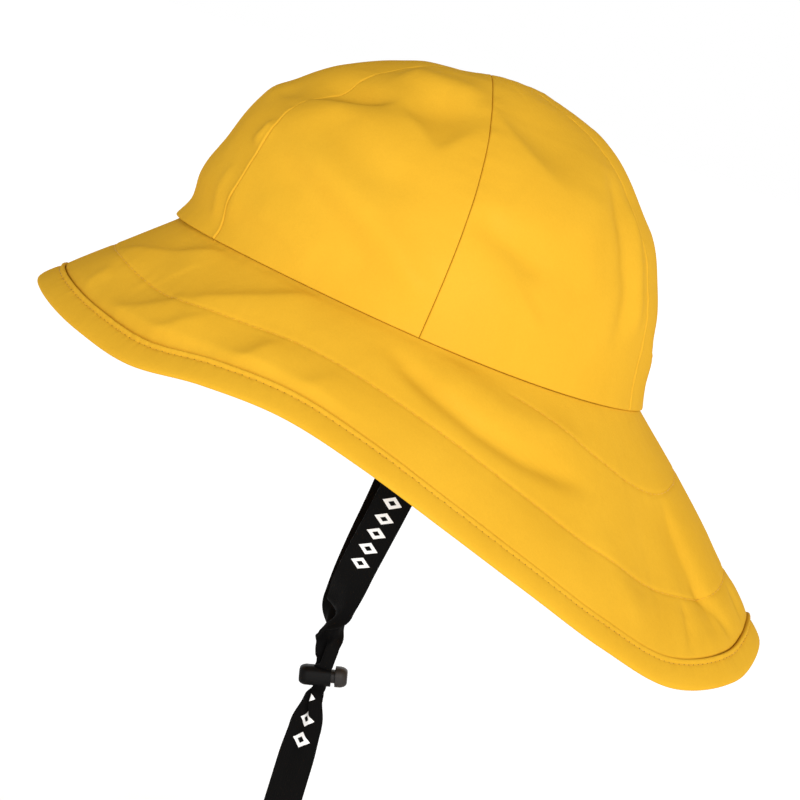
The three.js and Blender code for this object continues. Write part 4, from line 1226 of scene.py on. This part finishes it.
def make_strap():
    route = strap_route()
    middle, places = centripetal(route[:, :3], POINTS_TO_A_SPAN)
    length = np.concatenate([[0], np.linalg.norm(np.diff(middle, axis=0), axis=1).cumsum()])
    stops = np.linspace(0, length[-1], STRAP_SECTIONS + 1)
    centre = np.stack([np.interp(stops, length, middle[:, k]) for k in range(3)], axis=1)
    place = np.interp(stops, length, places)
    tangent = unit(np.gradient(centre, axis=0))
    k = np.minimum(place.astype(int), len(route) - 2)
    part = smoothstep(place - k)
    gather, tilt, twist = (route[k, c] * (1 - part) + route[k + 1, c] * part for c in (3, 4, 5))
    wide = np.stack([0 * tilt, np.cos(tilt), np.sin(tilt)], axis=1)
    wide = unit(wide - tangent * (wide * tangent).sum(axis=1, keepdims=True))
    thick = np.cross(tangent, wide)
    angle = math.pi * twist[:, None]
    across_way = wide * np.cos(angle) + thick * np.sin(angle)
    through_way = thick * np.cos(angle) - wide * np.sin(angle)
    positions = np.empty((STRAP_SECTIONS + 1, STRAP_COLUMNS + 1, 3))
    cloth_mm = np.empty((STRAP_SECTIONS + 1, STRAP_COLUMNS + 1, 2))
    flutter = STRAP_FLUTTER * ripple(stops, 91, FLUTTER_WAVES)
    for i in range(STRAP_SECTIONS + 1):
        s, x, h = pleated_section(gather[i])
        cup = flutter[i] * (1 - gather[i]) * (1 - (2 * s / STRAP_WIDTH) ** 2)
        positions[i] = centre[i] + across_way[i] * x[:, None] + through_way[i] * (h + cup)[:, None]
        cloth_mm[i] = np.stack([s, np.full(len(s), stops[i])], axis=-1)
    bm = cloth_grid(positions, cloth_mm)
    # the lock stands at the second of the three rows that strap_route adds for it
    lock_at = np.interp(len(STRAP_LEG) + 3, places, length)
    webbing = woven_webbing("black_woven_webbing", whole_motifs(length[-1], lock_at))
    made = piece(bm, "chin_strap_webbing", webbing, stands_for=["chin_strap"])
    wall = made.modifiers.new("webbing_thickness", "SOLIDIFY")
    wall.thickness = WEBBING_THICKNESS * MM
    wall.offset = 0


make_strap()


# The cord lock
LOCK_SIDES = 56
LOCK_SQUARENESS = 0.62     # 1 is an oval section, and less is squarer
LOCK_TIP = 0.55            # size of a rounded end's tip, as a share of the section
LOCK_ROUND_RINGS = 9
SLOT_BEVEL = 0.7
EDGE_BEVEL = 0.18
SHARP_EDGE = math.radians(50)
SLOT_LENGTH = GATHERED_WIDTH + 2 * LOCK_CLEARANCE
SLOT_WIDTH = 2 * GATHERED_THICKNESS + LAYER_GAP + 2 * LOCK_CLEARANCE
STEM_WIDTH = SLOT_WIDTH + 2 * LOCK_WALL
BORE_WIDTH = STEM_WIDTH + 2 * LOCK_CLEARANCE
BORE_HEIGHT = STEM_HEIGHT + 2 * LOCK_CLEARANCE
BARREL_WIDTH = BORE_WIDTH + 2 * LOCK_WALL
BARREL_HEIGHT = BORE_HEIGHT + 2 * LOCK_WALL
STEM_NOSE = -SLOT_LENGTH / 2 - LOCK_WALL
BORE_BOTTOM = STEM_NOSE - BUTTON_TRAVEL - LOCK_CLEARANCE
BARREL_START = BORE_BOTTOM - LOCK_END
BARREL_MOUTH = SLOT_LENGTH / 2 + LOCK_WALL
BUTTON_START = BARREL_MOUTH + BUTTON_TRAVEL + LOCK_CLEARANCE
BUTTON_END = BUTTON_START + BUTTON_LENGTH
LOCK_PLACE = Matrix.Translation(Vector(LOCK_MIDDLE) * MM) @ Matrix.Rotation(LOCK_TILT, 4, "X")


def rounded_bar(start, end, width, height, start_round, end_round):
    """A flattened round bar along Y, its ends rounded, as a closed bmesh in metres."""
    steps = np.sin(np.linspace(0, math.pi / 2, LOCK_ROUND_RINGS)) ** 2
    rings = [(start + start_round * s, math.sqrt(s * (2 - s))) for s in (steps if start_round else [1])]
    rings += [(end - end_round * s, math.sqrt(s * (2 - s))) for s in (steps[::-1] if end_round else [1])]
    angles = 2 * math.pi * (np.arange(LOCK_SIDES) + 0.5) / LOCK_SIDES
    x, z = (np.sign(part) * np.abs(part) ** LOCK_SQUARENESS for part in (np.cos(angles), np.sin(angles)))
    bm = bmesh.new()
    loops = []
    for y, fullness in rings:
        scale = LOCK_TIP + (1 - LOCK_TIP) * fullness
        half_width, half_height = scale * width / 2, scale * height / 2
        ring = [bm.verts.new(Vector((half_width * a, y, half_height * b)) * MM) for a, b in zip(x, z)]
        loops.append([bm.edges.new((ring[k], ring[(k + 1) % LOCK_SIDES])) for k in range(LOCK_SIDES)])
    for first, second in zip(loops, loops[1:]):
        bmesh.ops.bridge_loops(bm, edges=first + second)
    for loop in (loops[0], loops[-1]):
        bmesh.ops.contextual_create(bm, geom=loop)
    bmesh.ops.recalc_face_normals(bm, faces=bm.faces)
    return bm


def slot_block(start, end):
    """What the webbing's slot takes out of the lock, from start to end along it."""
    bm = bmesh.new()
    size = Matrix.Diagonal((SLOT_WIDTH * MM, (end - start) * MM, 3 * BARREL_HEIGHT * MM, 1))
    bmesh.ops.create_cube(bm, size=1, matrix=Matrix.Translation((0, (start + end) / 2 * MM, 0)) @ size)
    upright = [e for e in bm.edges if abs((e.verts[0].co - e.verts[1].co).z) > 1e-6]
    bmesh.ops.bevel(
        bm, geom=upright, offset=SLOT_BEVEL * MM, offset_type="OFFSET", affect="EDGES", segments=4,
        profile=0.5, material=-1,
    )
    return bm


def cut_and_joined(start, steps):
    """A copy of the first bmesh with others joined to it or cut from it, as one bmesh."""
    def as_object(bm):
        mesh = bpy.data.meshes.new("shape")
        bm.to_mesh(mesh)
        bm.free()
        made = bpy.data.objects.new("shape", mesh)
        bpy.context.scene.collection.objects.link(made)
        return made

    base = as_object(start)
    tools = []
    for operation, tool in steps:
        tools.append(as_object(tool))
        modifier = base.modifiers.new(operation, "BOOLEAN")
        modifier.operation, modifier.solver, modifier.object = operation, "EXACT", tools[-1]
    bpy.context.view_layer.update()
    result = bmesh.new()
    evaluated = base.evaluated_get(bpy.context.evaluated_depsgraph_get())
    result.from_mesh(evaluated.to_mesh())
    for used in (base, *tools):
        bpy.data.objects.remove(used)
    return result


def lock_part(bm, name, material, body, node):
    """Softens a lock part's edges, sets it in its place and makes it a piece."""
    bmesh.ops.remove_doubles(bm, verts=bm.verts, dist=1e-6)
    sharp = [e for e in bm.edges if len(e.link_faces) == 2 and e.calc_face_angle(0) > SHARP_EDGE]
    bmesh.ops.bevel(
        bm, geom=sharp, offset=EDGE_BEVEL * MM, offset_type="OFFSET", affect="EDGES", segments=2,
        profile=0.5, material=-1, clamp_overlap=True,
    )
    bmesh.ops.transform(bm, matrix=LOCK_PLACE, verts=bm.verts)
    for face in bm.faces:
        face.smooth = True
    made = piece(bm, name, material, body=body, stands_for=[node])
    soft = made.modifiers.new("even_shading", "WEIGHTED_NORMAL")
    soft.keep_sharp = True


def make_lock():
    bore_end = BARREL_MOUTH + LOCK_WALL
    barrel = cut_and_joined(
        rounded_bar(BARREL_START, BARREL_MOUTH, BARREL_WIDTH, BARREL_HEIGHT, LOCK_END, 0),
        [
            ("DIFFERENCE", rounded_bar(BORE_BOTTOM, bore_end, BORE_WIDTH, BORE_HEIGHT, 0, 0)),
            ("DIFFERENCE", slot_block(-SLOT_LENGTH / 2, SLOT_LENGTH / 2)),
        ],
    )
    lock_part(barrel, "lock_barrel_moulding", BARREL_PLASTIC, "hat", "lock_barrel")
    button = cut_and_joined(
        rounded_bar(BUTTON_START, BUTTON_END, BARREL_WIDTH, BARREL_HEIGHT, LOCK_CLEARANCE, LOCK_END),
        [
            ("UNION", rounded_bar(STEM_NOSE, BUTTON_START + LOCK_WALL, STEM_WIDTH, STEM_HEIGHT, 0, 0)),
            ("DIFFERENCE", slot_block(-SLOT_LENGTH / 2, SLOT_LENGTH / 2 + BUTTON_TRAVEL)),
        ],
    )
    lock_part(button, "lock_button_moulding", BUTTON_PLASTIC, "button", "lock_button")


make_lock()


# The floor and the light
FLOOR_HEIGHT = -0.262      # metres, just under the strap's loop
FLOOR_HALF_SIZE = 40
FLOOR_GLOW = 0.42          # the floor is a lit white table
WALL_TONE, CEILING_TONE = 1.0, 0.36
# Two broad soft lights, beside the camera and behind the hat: name, the way to it, strength, degrees wide
SUNS = (
    ("broad_key", (0.95, 0.22, 0.13), 2.75, 28),
    ("far_fill", (-0.90, 0.35, 0.08), 0.6, 60),
)


def make_floor():
    bm = bmesh.new()
    low = Matrix.Translation((0, 0, FLOOR_HEIGHT))
    bmesh.ops.create_grid(bm, x_segments=1, y_segments=1, size=FLOOR_HALF_SIZE, matrix=low)
    mesh = bpy.data.meshes.new("studio_floor")
    bm.to_mesh(mesh)
    bm.free()
    n = Nodes("white_floor")
    tone = n.noise(n.add("ShaderNodeTexCoord").outputs["Object"], 3, 2, 0.5)
    white = n.ramp(tone, ((0.3, (0.955, 0.955, 0.955)), (0.7, (0.965, 0.965, 0.965))))
    n.uniform(Roughness=0.9, Specular_IOR_Level=0.0)
    n.uniform(Emission_Color=(1, 1, 1, 1), Emission_Strength=FLOOR_GLOW)
    mesh.materials.append(n.finish(white))
    floor = bpy.data.objects.new("studio_floor", mesh)
    bpy.context.scene.collection.objects.link(floor)


def soft_sun(name, toward, energy, spread):
    data = bpy.data.lights.new(name, "SUN")
    data.energy = energy
    data.angle = math.radians(spread)
    light = bpy.data.objects.new(name, data)
    light.rotation_mode = "QUATERNION"
    light.rotation_quaternion = Vector(toward).to_track_quat("Z", "Y")
    bpy.context.scene.collection.objects.link(light)


def studio_light():
    """A white room with a dimmer ceiling, and the soft lights in it."""
    world = bpy.data.worlds.new("white_studio")
    world.use_nodes = True
    tree = world.node_tree
    where = tree.nodes.new("ShaderNodeTexCoord")
    split = tree.nodes.new("ShaderNodeSeparateXYZ")
    ramp = tree.nodes.new("ShaderNodeValToRGB")
    tree.links.new(where.outputs["Generated"], split.inputs[0])
    tree.links.new(split.outputs["Z"], ramp.inputs["Fac"])
    walls, ceiling = ramp.color_ramp.elements
    walls.position, walls.color = 0.10, (WALL_TONE, WALL_TONE, WALL_TONE, 1)
    ceiling.position, ceiling.color = 0.90, (CEILING_TONE, CEILING_TONE, CEILING_TONE, 1)
    tree.links.new(ramp.outputs["Color"], tree.nodes["Background"].inputs["Color"])
    tree.nodes["Background"].inputs["Strength"].default_value = 1.0
    bpy.context.scene.world = world
    for sun in SUNS:
        soft_sun(*sun)
    bpy.context.scene.view_settings.view_transform = "Standard"
    bpy.context.scene.view_settings.look = "None"


make_floor()
studio_light()
